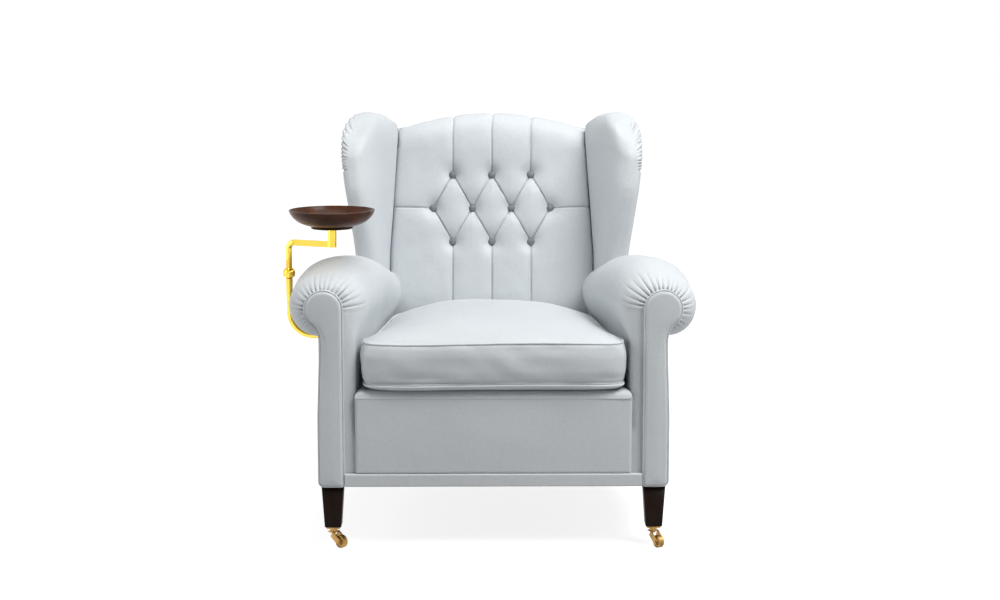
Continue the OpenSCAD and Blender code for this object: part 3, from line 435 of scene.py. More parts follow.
def length(name, description, default, low, high):
    return FloatProperty(name=name, description=description, default=default, min=low,
                         max=high, unit="LENGTH")


def strength(name, description, default):
    return FloatProperty(name=name, description=description, default=default, min=0, max=1,
                         subtype="FACTOR")


class ChairLeather(PropertyGroup):
    colour: tint("Leather", "Colour of the leather", 207, 212, 215)
    button_colour: tint("Buttons", "Colour of the button leather", 118, 126, 130)
    grain: strength("Grain", "Strength of the pebble grain", 0.35)
    crease: strength("Creases", "Strength of the soft surface creases", 0.28)
    piping: length("Piping", "Radius of the piping on the seams", 0.0021, 0.001, 0.004)


class ChairPleats(PropertyGroup):
    count: IntProperty(name="Arm pleats", default=22, min=8, max=40,
                       description="Gathers round the front of each arm roll")
    depth: length("Arm depth", "Depth of the gathers at the facing", 0.0058, 0, 0.010)
    wing_count: IntProperty(name="Wing gathers", default=13, min=4, max=30,
                            description="Gathers on the edge of each wing")
    wing_depth: length("Wing depth", "Depth of the wing's gathers", 0.0046, 0, 0.008)


class ChairTufting(PropertyGroup):
    crease_depth: length("Fold depth", "Depth of the narrow folds", 0.0060, 0, 0.012)
    crease_width: length("Fold width", "Half width of the narrow folds", 0.0019, 0.001, 0.01)
    button_sink: length("Button depth", "How far the buttons are drawn in", 0.015, 0, 0.03)
    button_size: length("Button", "Diameter of a button", 0.0190, 0.01, 0.03)


class ChairWoods(PropertyGroup):
    leg_dark: tint("Leg dark", "Dark grain of the legs", 16, 9, 6)
    leg_light: tint("Leg light", "Light grain of the legs", 40, 24, 15)
    tray_dark: tint("Tray dark", "Dark grain of the tray", 30, 15, 8)
    tray_light: tint("Tray light", "Light grain of the tray", 104, 58, 29)


class ChairBrasses(PropertyGroup):
    polished: tint("Tray arm", "Brass of the tray arm", 255, 214, 92)
    aged: tint("Casters", "Brass of the casters", 196, 158, 96)


class ChairStage(PropertyGroup):
    floor: FloatProperty(name="Floor", description="Brightness of the floor", default=0.45,
                         min=0, max=1, subtype="FACTOR")
    lamp_power: FloatProperty(name="Lamps", description="Strength of the studio lamps",
                              default=1.0, min=0, max=4)


GROUPS = (("chair_leather", ChairLeather), ("chair_pleats", ChairPleats),
          ("chair_tufting", ChairTufting), ("chair_woods", ChairWoods),
          ("chair_brasses", ChairBrasses), ("chair_stage", ChairStage))


def settings(name):
    return getattr(bpy.context.scene, name)


def chair_leather():
    name = "Pale grey-blue leather"
    s = settings("chair_leather")
    return bpy.data.materials.get(name) or leather(name, tuple(s.colour), s.grain, s.crease)


def give(material, *names):
    """Puts a material on CAD nodes that stay as they are."""
    for name in names:
        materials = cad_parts[name].data.materials
        materials.clear()
        materials.append(material)


# The rolled arms

ROLL_OUTS = [[0, 0.90], [0.12, 0.93], [0.38, 1], [0.60, 0.88], [0.76, 0.60], [0.90, 0.12],
             [1, -0.38]]
ROLL_INS = [[0, 0.25], [0.12, 0.32], [0.36, 0.56], [0.55, 0.74], [0.72, 0.89], [0.86, 1],
            [1, 1]]
ROLL_UPS = [[0, 0.74], [0.12, 0.84], [0.36, 0.98], [0.55, 0.86], [0.72, 0.60], [0.88, 0.28],
            [1, 0.12]]
ROLL_LEANS = [[0, 0.18], [0.12, 0.23], [0.36, 0.29], [0.55, 0.41], [0.72, 0.52], [0.88, 0.62],
              [1, 0.66]]
RAIL_Y0, RAIL_X0 = 54.0, 334.0
STRIP_W, STRIP_LOW, STRIP_HIGH = 27.0, 2.8, 15.0
WALL_NARROWS, ROLL_DROP, ROLL_RISE = 64.0, 42.0, 90.0
PLEAT_FIRST, PLEAT_LAST = -62.0, 186.0


def wall_x(y):
    """The arm's inner wall at depth y."""
    return IN_X - WALL_NARROWS * clamp01(y / SEAT_D)


def rail_x(y):
    return mix(RAIL_X0, BACK_POST_X1 - 25.0, clamp01((y - RAIL_Y0) / (SEAT_D - RAIL_Y0)))


def side_x(y):
    """The outside of the arm below the roll at depth y."""
    u = clamp01(y / REAR_Y)
    w = (np.maximum(0.0, u - 0.45) / 0.55) ** 1.6
    return mix(FACING_X1 + 13.0 * np.sin(math.pi * u), REAR_X, w)


def arm_section(y):
    """One section of the arm at depth y: up the inner wall, over the roll and in under it."""
    def strip(z):
        """The rounded strip beside the front border, flatter over the front rail."""
        depth = mix(STRIP_LOW, STRIP_HIGH, ease((z - 244.0) / 30.0))
        return wall_x(y) + STRIP_W * curl(1 - clamp01((y - ARM_Y0) / depth))

    q = 1 - curl(1 - float(clamp01((y - ARM_Y0) / ROLL_EDGE)))
    t = y / REAR_Y
    small = SCROLL_R - TUCK
    cx = mix(SCROLL_X, SCROLL_X - ROLL_LEAN * table(t, ROLL_LEANS), q)
    xo = mix(SCROLL_X + small, SCROLL_X + ROLL_OUT * table(t, ROLL_OUTS), q)
    xi = mix(SCROLL_X - small, IN_X - ROLL_IN * table(t, ROLL_INS), q)
    zt = mix(SCROLL_Z + small, SCROLL_Z + ROLL_UP * table(t, ROLL_UPS), q)
    nx = mix(rail_x(y) - 0.3, side_x(y) - TUCK / 2, q)
    nz = mix(SCROLL_Z - small, NECK_Z, q)
    zi = SCROLL_Z - ROLL_DROP * q * float(ease((t - 0.45) / 0.4))
    zw = zi - ROLL_RISE
    s = np.linspace(0, 1, 40)
    wall_z = np.linspace(BAND_Z + 0.3, zw, 60, endpoint=False)
    wall = coords(strip(wall_z), wall_z)
    rise = coords(mix(strip(SCROLL_Z), xi, (1 - np.cos(math.pi * s)) / 2), mix(zw, zi, s))
    a = np.linspace(math.pi, 0, 120)[1:]
    half = np.where(np.cos(a) < 0, cx - xi, xo - cx)
    level = np.where(np.cos(a) < 0, zi, SCROLL_Z)
    roll = coords(cx + half * np.cos(a), level + (zt - level) * np.sin(a))
    b = np.linspace(0, QUARTER, 40)[1:]
    under = coords(nx + (xo - nx) * np.cos(b), SCROLL_Z - (SCROLL_Z - nz) * np.sin(b))
    path = np.concatenate([even(np.concatenate([wall, rise]), 70)[:-1],
                           even(np.concatenate([rise[-1:], roll, under]), 420)])
    return coords(path[:, 0], y, path[:, 1])


def pleat_wave(phase, power):
    """Rounded ridges with narrow valleys at whole numbers: 0 in a valley, 1 on a ridge."""
    return (np.abs(np.sin(math.pi * phase)) + 1e-4) ** power


def make_arm(side, seed):
    s = settings("chair_pleats")
    near = ARM_Y0 + ROLL_EDGE * (1 - np.cos(np.linspace(0, QUARTER, 56)))
    far = np.linspace(near[-1], REAR_Y * 1.08, 74)[1:]
    rows = np.stack([arm_section(y) for y in np.concatenate([near, far])])
    n = normals(rows)
    step = np.linalg.norm(np.diff(rows, axis=0), axis=-1)
    run = np.concatenate([np.zeros((1, rows.shape[1])), np.cumsum(step, axis=0)])
    angle = np.degrees(np.arctan2(rows[..., 2] - SCROLL_Z, rows[..., 0] - SCROLL_X))
    angle = np.where(angle < -100, angle + 360, angle)
    rng = np.random.default_rng(seed)
    marks = np.linspace(PLEAT_FIRST, PLEAT_LAST, s.count) + rng.uniform(-1.6, 1.6, s.count)
    phase = np.interp(angle, marks, np.arange(s.count))
    pleat = np.round(phase).astype(int)
    reach = (np.interp(marks, [PLEAT_FIRST, 0, 70, 150, PLEAT_LAST], [30, 40, 58, 70, 64])
             * rng.uniform(0.6, 1.3, s.count))[pleat]
    ends = ease((angle - PLEAT_FIRST + 5) / 9) * ease((PLEAT_LAST + 5 - angle) / 9)
    fade = (0.55 * bump(run, 15.0) + 0.75 * bump(run, reach)) * ends
    deep = s.depth / MM * rng.uniform(0.65, 1.15, s.count)[pleat]
    push = deep * fade * (pleat_wave(phase, 0.52) - 0.82)
    push += ease(run / 30.0) * ripples(rows, (0.9, 95, seed + 1), (0.35, 34, seed + 2))
    rows = rows + n * push[..., None]
    rows[..., 1] = np.minimum(rows[..., 1], frame_y(rows[..., 2]) + FRAME_T - 0.3)
    # one more face closes the arm's rear end
    count = rows.shape[1]
    end = (np.arange(count) + (len(rows) - 1) * count)[::side]
    faces = [*grid_faces(len(rows), count, flip=side < 0), end]
    name = SIDES[side]
    cover = piece("arm_cover_" + name, mirrored(rows, side), faces, replaces=["arm_" + name])


class ChairArms(Operator):
    """Makes both rolled arms, gathered in pleats round the front"""
    bl_idname = "chair.arms"
    bl_label = "Rolled arms"

    def execute(self, context):
        make_arm(-1, 11)
        make_arm(1, 23)
        return {"FINISHED"}


# The facings

FACING_RIM, WELT_Y = 9.0, 5.6


def facing_side(z):
    """The facing's outer edge below its neck at height z."""
    return mix(FACING_X0 + NECK_W, FACING_X1, ease((NECK_Z - z) / (NECK_Z - BODY_Z) * 5 / 3))


def facing_outline(g, count=320):
    """The facing's closed outline in x and z, grown by g, from the middle of its foot."""
    outer_r, inner_r = 12.0, 5.0
    r = SCROLL_R + g
    a = np.radians(np.linspace(180, -40, 90))
    scroll = coords(SCROLL_X + r * np.cos(a), SCROLL_Z + r * np.sin(a))
    px, pz = scroll[-1]
    ex = FACING_X0 + NECK_W + g
    t = np.linspace(0, 1, 24)[1:]
    mx, mz = ex + TUCK / 2, mix(pz, NECK_Z, 0.4)
    neck = coords(mix(mix(px, mx, t), mix(mx, ex, t), t),
                  mix(mix(pz, mz, t), mix(mz, NECK_Z, t), t))
    foot = BODY_Z - g * 0.4
    z = mix(NECK_Z, foot + outer_r, np.linspace(0, 1, 60)[1:])
    outer = coords(facing_side(z) + g, z)
    c = np.linspace(0, QUARTER, 16)[1:]
    right = coords(outer[-1, 0] - outer_r * (1 - np.cos(c)), foot + outer_r * (1 - np.sin(c)))
    left = coords(FACING_X0 - g + inner_r * (1 - np.sin(c)), foot + inner_r * (1 - np.cos(c)))
    return even(np.concatenate([scroll, neck, outer, right, left]), count, closed=True)


def facing_spine(outline):
    """The line down the middle of the facing that each outline point is drawn towards."""
    z = outline[:, 1]
    top = ease((z - (NECK_Z - 40)) / 80)
    return coords(mix(FACING_X0 + NECK_W / 2 + 2, SCROLL_X, top),
                  np.clip(z, BODY_Z + 20, SCROLL_Z))


def make_facing(side, seed):
    name = SIDES[side]
    edge = facing_outline(-WELT_W)
    spine = facing_spine(edge)
    depth = np.linalg.norm(edge - spine, axis=1)
    rim = FACING_RIM * (1 - np.cos(np.linspace(0, QUARTER, 12)))
    # shares of the way to the spine, with the depth behind the facing's front
    sweep = [(0 * depth, 13.6), (0 * depth, 8.0)]
    sweep += [(d / depth, WELT_Y * curl(1 - d / FACING_RIM)) for d in rim]
    sweep += [(mix(FACING_RIM / depth, 1.0, k), -1.2 * np.sin(k * QUARTER))
              for k in np.linspace(0, 1, 16)[1:]]
    rows = []
    for share, y in sweep:
        p = mix(edge, spine, share[:, None])
        rows.append(coords(p[:, 0], y, p[:, 1]))
    rows = np.stack(rows)
    rows[..., 1] += ease((5.4 - rows[..., 1]) / 5) * ripples(rows, (0.35, 60, seed),
                                                             (0.12, 22, seed + 1))
    cover = surface("facing_cover_" + name, rows, side=side, loop=True, flip=True,
                    replaces=["arm_facing_" + name])
    merge_points(cover, 0.4)
    line = facing_outline(-WELT_W / 2 + 0.2, 300)
    welt("facing_piping_" + name, coords(line[:, 0], WELT_Y + 0.2, line[:, 1]), side=side,
         closed=True, replaces=["facing_welt_" + name])
    skirt = facing_outline(0.0, 240)
    sides = np.stack([coords(skirt[:, 0], y, skirt[:, 1]) for y in (6.0, 9.0, 14.0)])
    surface("facing_side_" + name, sides, side=side, loop=True)


class ChairFacings(Operator):
    """Makes the padded arm facings with their piping"""
    bl_idname = "chair.facings"
    bl_label = "Arm facings"

    def execute(self, context):
        make_facing(-1, 31)
        make_facing(1, 37)
        return {"FINISHED"}


# The wings

WING_REACHES = [[0, 0.70], [0.24, 0.82], [0.43, 0.92], [0.65, 1], [0.81, 1], [0.92, 0.95],
                [1, 0.82]]
WING_FLARES = [[0, 0.68], [0.24, 0.78], [0.43, 0.865], [0.65, 0.96], [0.81, 1], [0.92, 0.99],
               [1, 0.93]]
WING_TOPS = [[0, 0.02], [0.3, 0.05], [0.375, 0.12], [0.5, 0.52], [0.6, 0.85], [0.75, 1],
             [0.9, 0.74], [1, 0.25]]
WING_TURN_P, WING_TURN_T = 0.80, 0.86
WING_FAN_X, WING_FAN_Z = 289.0, 816.0
PAD_MEETS_Z = SCROLL_Z + ROLL_UP * 0.66
PAD_SWELL = 18.0


def pad_half(z):
    """Half the pad's width where it meets the wing at height z."""
    za, zb = SCROLL_Z + ROLL_UP * 0.33, PAD_MEETS_Z
    zc = BACK_TOP - BACK_ARCH * 1.5
    low = mix(PAD_LOW_HALF, BACK_HALF + PAD_SWELL, ease((z - za) / (zb - za)))
    high = BACK_HALF + PAD_SWELL * (1 - clamp01((z - zb) / (zc - zb)))
    return np.where(z < zb, low, high)


def rounding(u, start, power=2.7):
    """1 up to the start, then round down to 0 at u = 1."""
    return np.maximum(0.0, 1 - clamp01((u - start) / (1 - start)) ** power) ** (1 / power)


def make_wing(side, seed):
    s = settings("chair_pleats")
    turn = np.sin(np.linspace(0, QUARTER, 70))[1:]
    p = np.concatenate([np.linspace(0, WING_TURN_P, 80), mix(WING_TURN_P, 1, turn)])[None, :]
    t = np.concatenate([np.linspace(0, 0.56, 60)[:-1], np.linspace(0.56, WING_TURN_T, 110),
                        mix(WING_TURN_T, 1, turn)])[:, None]
    z = mix(WING_Z, mix(BACK_TOP - BACK_ARCH, WING_TOP, table(p, WING_TOPS)), t)
    reach = WING_REACH * table(t, WING_REACHES)
    y = frame_y(z) + FRAME_T - 0.3 - p * (FRAME_T + reach)
    seam = np.where(z < PAD_MEETS_Z, BACK_HALF + PAD_SWELL, pad_half(z)) - 0.5
    pa = (FRAME_T + PAD_T) / (FRAME_T + reach)
    flare = BACK_HALF + WING_FLARE * table(t, WING_FLARES)
    xi = mix(seam, flare - WING_T, clamp01((p - pa) / (1 - pa)) ** 1.15)
    xo = mix(BACK_POST_X1 + TUCK, flare, p ** 0.9)
    full = rounding(p, WING_TURN_P) * rounding(t, WING_TURN_T)
    ridge = mix(xi, (xi + xo) / 2, ease((p - pa) / 0.28))
    inner = coords(mix(ridge, xi, full), y, z)
    outer = coords(mix(ridge, xo, full), y, z)
    rows = np.concatenate([inner, outer[:, ::-1]], axis=1)
    n = normals(rows)
    # the gathers fan out from a point inside the wing's upper front, on its outer side alone
    angle = np.degrees(np.arctan2(rows[..., 2] - WING_FAN_Z, rows[..., 0] - WING_FAN_X))
    rng = np.random.default_rng(seed)
    marks = np.linspace(-12, 72, s.wing_count) + rng.uniform(-1.2, 1.2, s.wing_count)
    phase = np.interp(angle, marks, np.arange(s.wing_count))
    pleat = np.round(phase).astype(int)
    full = np.concatenate([full, full[:, ::-1]], axis=1)
    outward = np.arange(rows.shape[1]) >= inner.shape[1]
    start = rng.uniform(0.08, 0.42, s.wing_count)[pleat]
    behind = np.concatenate([p, p[:, ::-1]], axis=1)
    fade = ease((full - start) / 0.35) * ease((behind - 0.45) / 0.25) * outward
    ends = ease((angle + 17) / 6) * ease((78 - angle) / 6)
    deep = s.wing_depth / MM * rng.uniform(0.6, 1.2, s.wing_count)[pleat]
    push = deep * fade * ends * (pleat_wave(phase, 0.75) - 0.72)
    push += 0.9 * ripple(rows, 110, seed + 1) * ease(full * 1.6)
    name = SIDES[side]
    cover = surface("wing_cover_" + name, rows + n * push[..., None], side=side, flip=True,
                    replaces=["wing_" + name])
    merge_points(cover, 0.3)


class ChairWings(Operator):
    """Makes both wings with the gathers on their edges"""
    bl_idname = "chair.wings"
    bl_label = "Wings"

    def execute(self, context):
        make_wing(-1, 41)
        make_wing(1, 47)
        return {"FINISHED"}


# The tufted back

PAD_SHARES = [[-0.44, 0.78], [0.09, 1.06], [0.61, 1.02], [1, 1], [1.4, 0.96], [1.75, 1]]
BUTTONS = [(k * TUFT_X, TUFT_MID + row * TUFT_Z)
           for row, places in ((1, (-1, 0, 1)), (0, (-1.5, -0.5, 0.5, 1.5)), (-1, (-1, 0, 1)))
           for k in places]
PAD_SHOULDER = frame_w(BACK_TOP - BACK_ARCH) - 54.0
PAD_HIDDEN_HALF = BACK_HALF + 19.0
PAD_ROUNDING, FAR = 2.6, 400.0
TUFT_POCKET = 6.5


def fold_lines():
    """The folds as pairs of points, across and up the pad: diagonals, uprights and two ends."""
    upper, middle, lower = BUTTONS[:3], BUTTONS[3:7], BUTTONS[7:]
    lines = [(button, other, 1.0) for button in middle for other in upper + lower
             if abs(abs(other[0] - button[0]) - TUFT_X / 2) < 1]
    lines += [((x, w), (x + 2.0, w + FAR), 0.85) for x, w in upper]
    x, w = upper[-1]
    lines.append(((x, w), (x + 10.0, w + FAR), 0.45))
    lines += [((x, w), (x - 1.0, w - FAR), 0.9) for x, w in lower]
    end = BACK_HALF + 40.0
    lines.append((middle[0], (-end, TUFT_MID + 3.0), 0.8))
    lines.append((middle[-1], (end, TUFT_MID + 3.0), 0.8))
    return lines


def distance_to(x, w, a, b):
    """Distance of points from the stretch a to b, and how far along it they lie."""
    a, b = np.array(a, dtype=float), np.array(b, dtype=float)
    d = b - a
    t = clamp01(((x - a[0]) * d[0] + (w - a[1]) * d[1]) / (d @ d))
    return np.hypot(x - a[0] - t * d[0], w - a[1] - t * d[1]), t * np.linalg.norm(d)


def tuft_depth(x, w):
    """How far the leather lies behind the pad's plain face, in mm."""
    s = settings("chair_tufting")
    crease = s.crease_depth / MM
    width = s.crease_width / MM
    slow, sharp, dip = np.zeros((3, *x.shape))
    for a, b, share in fold_lines():
        d, along = distance_to(x, w, a, b)
        deep = share * mix(1.0, 0.72, ease(along / 40.0))
        sharp = np.maximum(sharp, deep * crease * bump(d, width))
        slow = np.maximum(slow, deep * 5.0 * np.exp(-(d / 15.0) ** 1.5))
    for bx, bw in BUTTONS:
        d = np.maximum(np.hypot(x - bx, w - bw) - TUFT_POCKET, 0.0)
        dip = np.maximum(dip, (s.button_sink / MM - 3.0) * np.exp(-(d / 17.0) ** 1.4))
    return slow + dip + sharp * (1 - 0.4 * clamp01(dip / 12.0))


def pad_plain(share, w):
    """The pad's face without its tufts, at a share of its half width and w up the back."""
    share = np.abs(share)
    return -PAD_T * table(w / TUFT_MID, PAD_SHARES) + 10.0 * share ** 10 + 18.0 * share ** 80


def pad_face(x, w, half):
    return pad_plain(x / half, w) + tuft_depth(x, w) - 1.5


def pad_rows():
    cols = np.linspace(-1, 1, 381)
    cols = np.sign(cols) * (1 - (1 - np.abs(cols)) ** 1.12)
    rows = []
    for w in np.linspace(frame_w(DECK_Z) + 2.0, PAD_SHOULDER, 330):
        level = HINGE_Z + w * math.cos(LEAN) + PAD_T * math.sin(LEAN)
        half = float(pad_half(level)) + 1.0 if level > PAD_MEETS_Z else PAD_HIDDEN_HALF
        rows.append(lean_back(cols * half, pad_face(cols * half, w, half), w))
    # above the shoulder the pad rolls over the crest, and its upright folds go with it
    arch = mix(frame_w(BACK_TOP), frame_w(BACK_TOP - BACK_ARCH), cols ** 2)
    x = cols * BACK_HALF
    front = pad_face(x, PAD_SHOULDER, BACK_HALF)
    plain = pad_plain(cols, PAD_SHOULDER)
    fold = np.zeros(x.shape)
    for bx in (-TUFT_X, 0, TUFT_X):
        fold = np.maximum(fold, 4.2 * bump(x - bx - 1.5, 2.8) + 2.5 * bump(x - bx, 14.0))
    turn = np.linspace(0, QUARTER, 34)
    for u in np.concatenate([-np.cos(turn[1:-1]), np.sin(turn)]):
        rise = (1 - abs(u) ** PAD_ROUNDING) ** (1 / PAD_ROUNDING)
        k = (u + 1) / 2
        w = PAD_SHOULDER + (arch - PAD_SHOULDER) * rise
        v = mix(mix(front, plain, ease(k * 6)), FRAME_T, k)
        lower = fold * ease(k * 6) * (1 - ease((k - 0.55) / 0.4))
        rows.append(lean_back(x, v + lower * (1 - rise), w - lower * rise))
    return np.stack(rows)


class ChairBack(Operator):
    """Makes the inside back with its diagonal folds and drawn-in tufts"""
    bl_idname = "chair.back"
    bl_label = "Tufted back"

    def execute(self, context):
        rows = pad_rows()
        rows = rows + normals(rows) * ripples(rows, (0.8, 90, 51), (0.3, 30, 52))[..., None]
        cover = surface("back_cover", rows, flip=True, replaces=["inside_back"])
        return {"FINISHED"}


class ChairButtons(Operator):
    """Makes the ten covered buttons"""
    bl_idname = "chair.buttons"
    bl_label = "Buttons"

    def execute(self, context):
        s = settings("chair_leather")
        size = settings("chair_tufting").button_size / MM
        skin = leather("Grey button leather", tuple(s.button_colour), s.grain, 0.1)
        profile = [(0, 0), (0.30, 0.0), (0.44, 0.05), (0.50, 0.14), (0.485, 0.24),
                   (0.42, 0.33), (0.31, 0.40), (0.16, 0.445), (0.001, 0.455)]
        steps = 28
        a = np.arange(steps) * 2 * math.pi / steps
        points, faces = [], []
        for x, w in BUTTONS:
            faces.append(grid_faces(len(profile), steps, loop=True,
                                    start=len(points) * steps))
            back = float(pad_face(np.array([x]), w, BACK_HALF)[0])
            points += [lean_back(x + r * size * np.cos(a), back - 1.6 - h * size,
                                 w + r * size * np.sin(a)) for r, h in profile]
        piece("buttons", np.concatenate(points), np.concatenate(faces), skin,
              replaces=["back_buttons"], slot="button_leather")
        return {"FINISHED"}


# The seat cushion

FOOT_SHARES = [[0, 3.6], [0.3, 1.6], [0.75, 0.6], [1, 1.0]]
BORDER_SHARES = [[0, 1], [0.12, 0.35], [0.35, 0], [0.62, 0], [0.86, 0.35], [1, 1]]
CROWN_SHARES = [[0, 0], [0.07, 0.19], [0.17, 0.40], [0.31, 0.62], [0.48, 0.80], [0.67, 0.92],
                [0.86, 0.98], [1, 1]]
SEAM_INSET, SQUARE_POWER, SIDE_DIP = 9.0, 0.16, 20.0


def cushion_ring(z, inset, power=SQUARE_POWER, count=300):
    """One level of the cushion: a rounded square that narrows towards the back."""
    hy = (CUSHION_Y1 - CUSHION_Y0) / 2 - inset
    cy = (CUSHION_Y1 + CUSHION_Y0) / 2
    a = np.linspace(0, 2 * math.pi, 1440, endpoint=False)
    y = cy + hy * np.sign(np.sin(a)) * np.abs(np.sin(a)) ** power
    hx = wall_x(y) - 4.0 - inset
    x = hx * np.sign(np.cos(a)) * np.abs(np.cos(a)) ** power
    ring = even(coords(x, y), count, closed=True)
    turn = np.argmin(np.hypot(ring[:, 0] - ring[:, 0].max(), ring[:, 1] - cy))
    ring = np.roll(ring, -turn, axis=0)
    return coords(ring[:, 0], ring[:, 1], z)


def seam_wave(x, y):
    """The seams of the cushion wander a little up and down."""
    front = ease((120.0 - y) / 120.0)
    return front * (1.6 * np.sin(x / 82.0 + 0.4) - 1.2 * bump(x + 190, 70)) \
        + 0.8 * np.sin(y / 70.0)


class ChairCushion(Operator):
    """Makes the boxed and crowned seat cushion with its two piped seams"""
    bl_idname = "chair.cushion"
    bl_label = "Seat cushion"

    def execute(self, context):
        z0 = DECK_Z + 0.3
        rings = [cushion_ring(z0, 60.0)]
        rings += [cushion_ring(mix(z0, SEAM_LOW, k), SEAM_INSET * float(table(k, FOOT_SHARES)))
                  for k in np.linspace(0, 1, 12)[:-1]]
        low = len(rings)
        rings += [cushion_ring(mix(SEAM_LOW, SEAM_TOP, k),
                               SEAM_INSET * float(table(k, BORDER_SHARES)))
                  for k in np.linspace(0, 1, 30)]
        high = len(rings) - 1
        half = (CUSHION_Y1 - CUSHION_Y0) / 2
        rings += [cushion_ring(SEAM_TOP + CROWN * float(table(c, CROWN_SHARES)),
                               mix(SEAM_INSET, half * 0.985, c),
                               mix(SQUARE_POWER, 0.9, c ** 0.7))
                  for c in np.linspace(0, 1, 46)[1:] ** 1.15]
        rows = np.stack(rings)
        n = normals(rows, loop=True)
        x, y, z = np.moveaxis(rows, -1, 0)
        band = bump(z - SEAM_TOP, 30) + bump(z - SEAM_LOW, 24)
        z += seam_wave(x, y) * np.minimum(band, 1) * (z > z0 + 2)
        border = ease((z - SEAM_LOW) / 12) * ease((SEAM_TOP - z) / 12)
        slant = np.sin((x * 0.8 + z * 1.7) / 19.0 + 1.2 * np.sin(x / 50.0))
        push = border * (ripples(rows, (2.2, 62, 61), (0.9 * slant, 90, 62), (0.5, 22, 63))
                         - 0.8)
        push += ease((z - SEAM_TOP) / 10) * (ripples(rows, (1.3, 120, 64), (0.5, 45, 65))
                                             - 1.0)
        for level in (SEAM_TOP, SEAM_LOW):
            push -= 1.6 * bump(z - level, 3.2) * (z < SEAM_TOP + 8)
        # the sides dip towards the back
        side = np.minimum(np.abs(x) / wall_x(y), 1) ** 2.4 * ease((y - CUSHION_Y0 - 50) / 170)
        dip = SIDE_DIP * side * ease((z - SEAM_LOW) / (SEAM_TOP - SEAM_LOW))
        rows = rows + n * push[..., None]
        rows[..., 2] -= dip
        cover = piece("cushion_cover", rows.reshape(-1, 3), capped_faces(*rows.shape[:2]),
                      body="seat_cushion", replaces=["seat_cushion"])
        for name, index in (("cushion_piping_top", high), ("cushion_piping_low", low)):
            path = rows[index] + n[index] * 0.9
            welt(name, even(path, 400, closed=True), closed=True, body="seat_cushion")
        return {"FINISHED"}


# The front of the seat

NOSE_Z, BORDER_EDGE, DECK_Y1 = 337.0, 7.0, 556.0


class ChairFront(Operator):
    """Makes the deck's nose, the front border, the base band and the seam between them"""
    bl_idname = "chair.front"
    bl_label = "Seat front"

    def execute(self, context):
        rail_front = ARM_Y0 + STRIP_LOW
        u = np.linspace(-1, 1, 240)[None, :]
        # the front border, with its sides turned in to the rail
        half = IN_X - 0.8
        x = u * half
        side = clamp01((np.abs(x) - (half - BORDER_EDGE)) / BORDER_EDGE)
        z = np.linspace(BAND_Z + 0.5, NOSE_Z, 80)[:, None]
        foot = clamp01((BAND_Z + 5 - z) / 5)
        y = 4.9 + BORDER_EDGE * curl(side) + 4.0 * curl(foot) - 1.4 * np.sin(
            math.pi * (z - BAND_Z) / (NOSE_Z - BAND_Z)) * (1 - u ** 6)
        rows = coords(x, y, z)
        rows[..., 1] += ripples(rows, (0.5, 110, 71), (0.2, 40, 72)) * (1 - side)
        turned = rows[:, [0, -1]]
        turned[..., 1] = rail_front + 16.0
        rows = np.concatenate([turned[:, :1], rows, turned[:, 1:]], axis=1)
        surface("front_border", rows, flip=True, replaces=["apron"])
        # the nose climbs from the seam and runs back under the cushion
        r = DECK_Z - NOSE_Z
        a = np.linspace(0, QUARTER, 20)[:, None]
        back = np.linspace(0, 1, 60)[1:, None]
        y = np.concatenate([4.6 + r * (1 - np.cos(a)), mix(4.6 + r, DECK_Y1, back)])
        z = np.concatenate([NOSE_Z + r * np.sin(a), DECK_Z + 0 * back])
        side = clamp01((np.abs(u * IN_X) - 290) / 14)
        z = z - 7.0 * curl(side) * ease((y - 2) / 14)
        rows = coords(u * (wall_x(y) - 0.6), y, z)
        rows[..., 2] -= 0.6 + 0.4 * ripple(rows, 60, 73)
        surface("deck_cover", rows, flip=True, replaces=["seat_deck"])
        x = np.linspace(-half + 3, half - 3, 160)
        welt("front_piping", coords(x, 5.2 + 6 * clamp01((np.abs(x) - half + 9) / 9) ** 2,
                                    NOSE_Z + 0.5 * np.sin(x / 61.0)), 1.7)
        # the base band, turned in along its foot and its top
        z = np.linspace(BODY_Z, BAND_Z - 0.3, 26)[:, None]
        low = clamp01((BODY_Z + 3 - z) / 3)
        high = clamp01((z - BAND_Z + 3.3) / 3)
        rows = coords(u * (FACING_X0 - 0.8), 2.8 + 3 * curl(low) + 3 * curl(high), z)
        rows[..., 1] += 0.25 * ripple(rows, 80, 74)
        top = rows[-1:].copy()
        top[..., 1] = rail_front
        rows = np.concatenate([rows[:1] + np.array([0, 9.0, 0]), rows, top])
        surface("base_band_cover", rows, flip=True, replaces=["base_band"])
        return {"FINISHED"}


# The outside panels

PANEL_DROP, JOIN_RISE = 8.0, 60.0


def back_panel(u, t):
    """Places across and up the outside back, at shares of its half width and height."""
    side_top = frame_w(BACK_TOP - BACK_ARCH) - PANEL_DROP
    rise = frame_w(BACK_TOP) - PANEL_DROP - side_top
    w = mix(frame_w(BODY_Z), side_top + rise * (1 - u ** 2), t)
    z = HINGE_Z + w * math.cos(LEAN)
    wide = mix(side_x(frame_y(z) + FRAME_T), REAR_X, ease((z - NECK_Z) / JOIN_RISE))
    return u * (wide - PANEL_T / 2), w


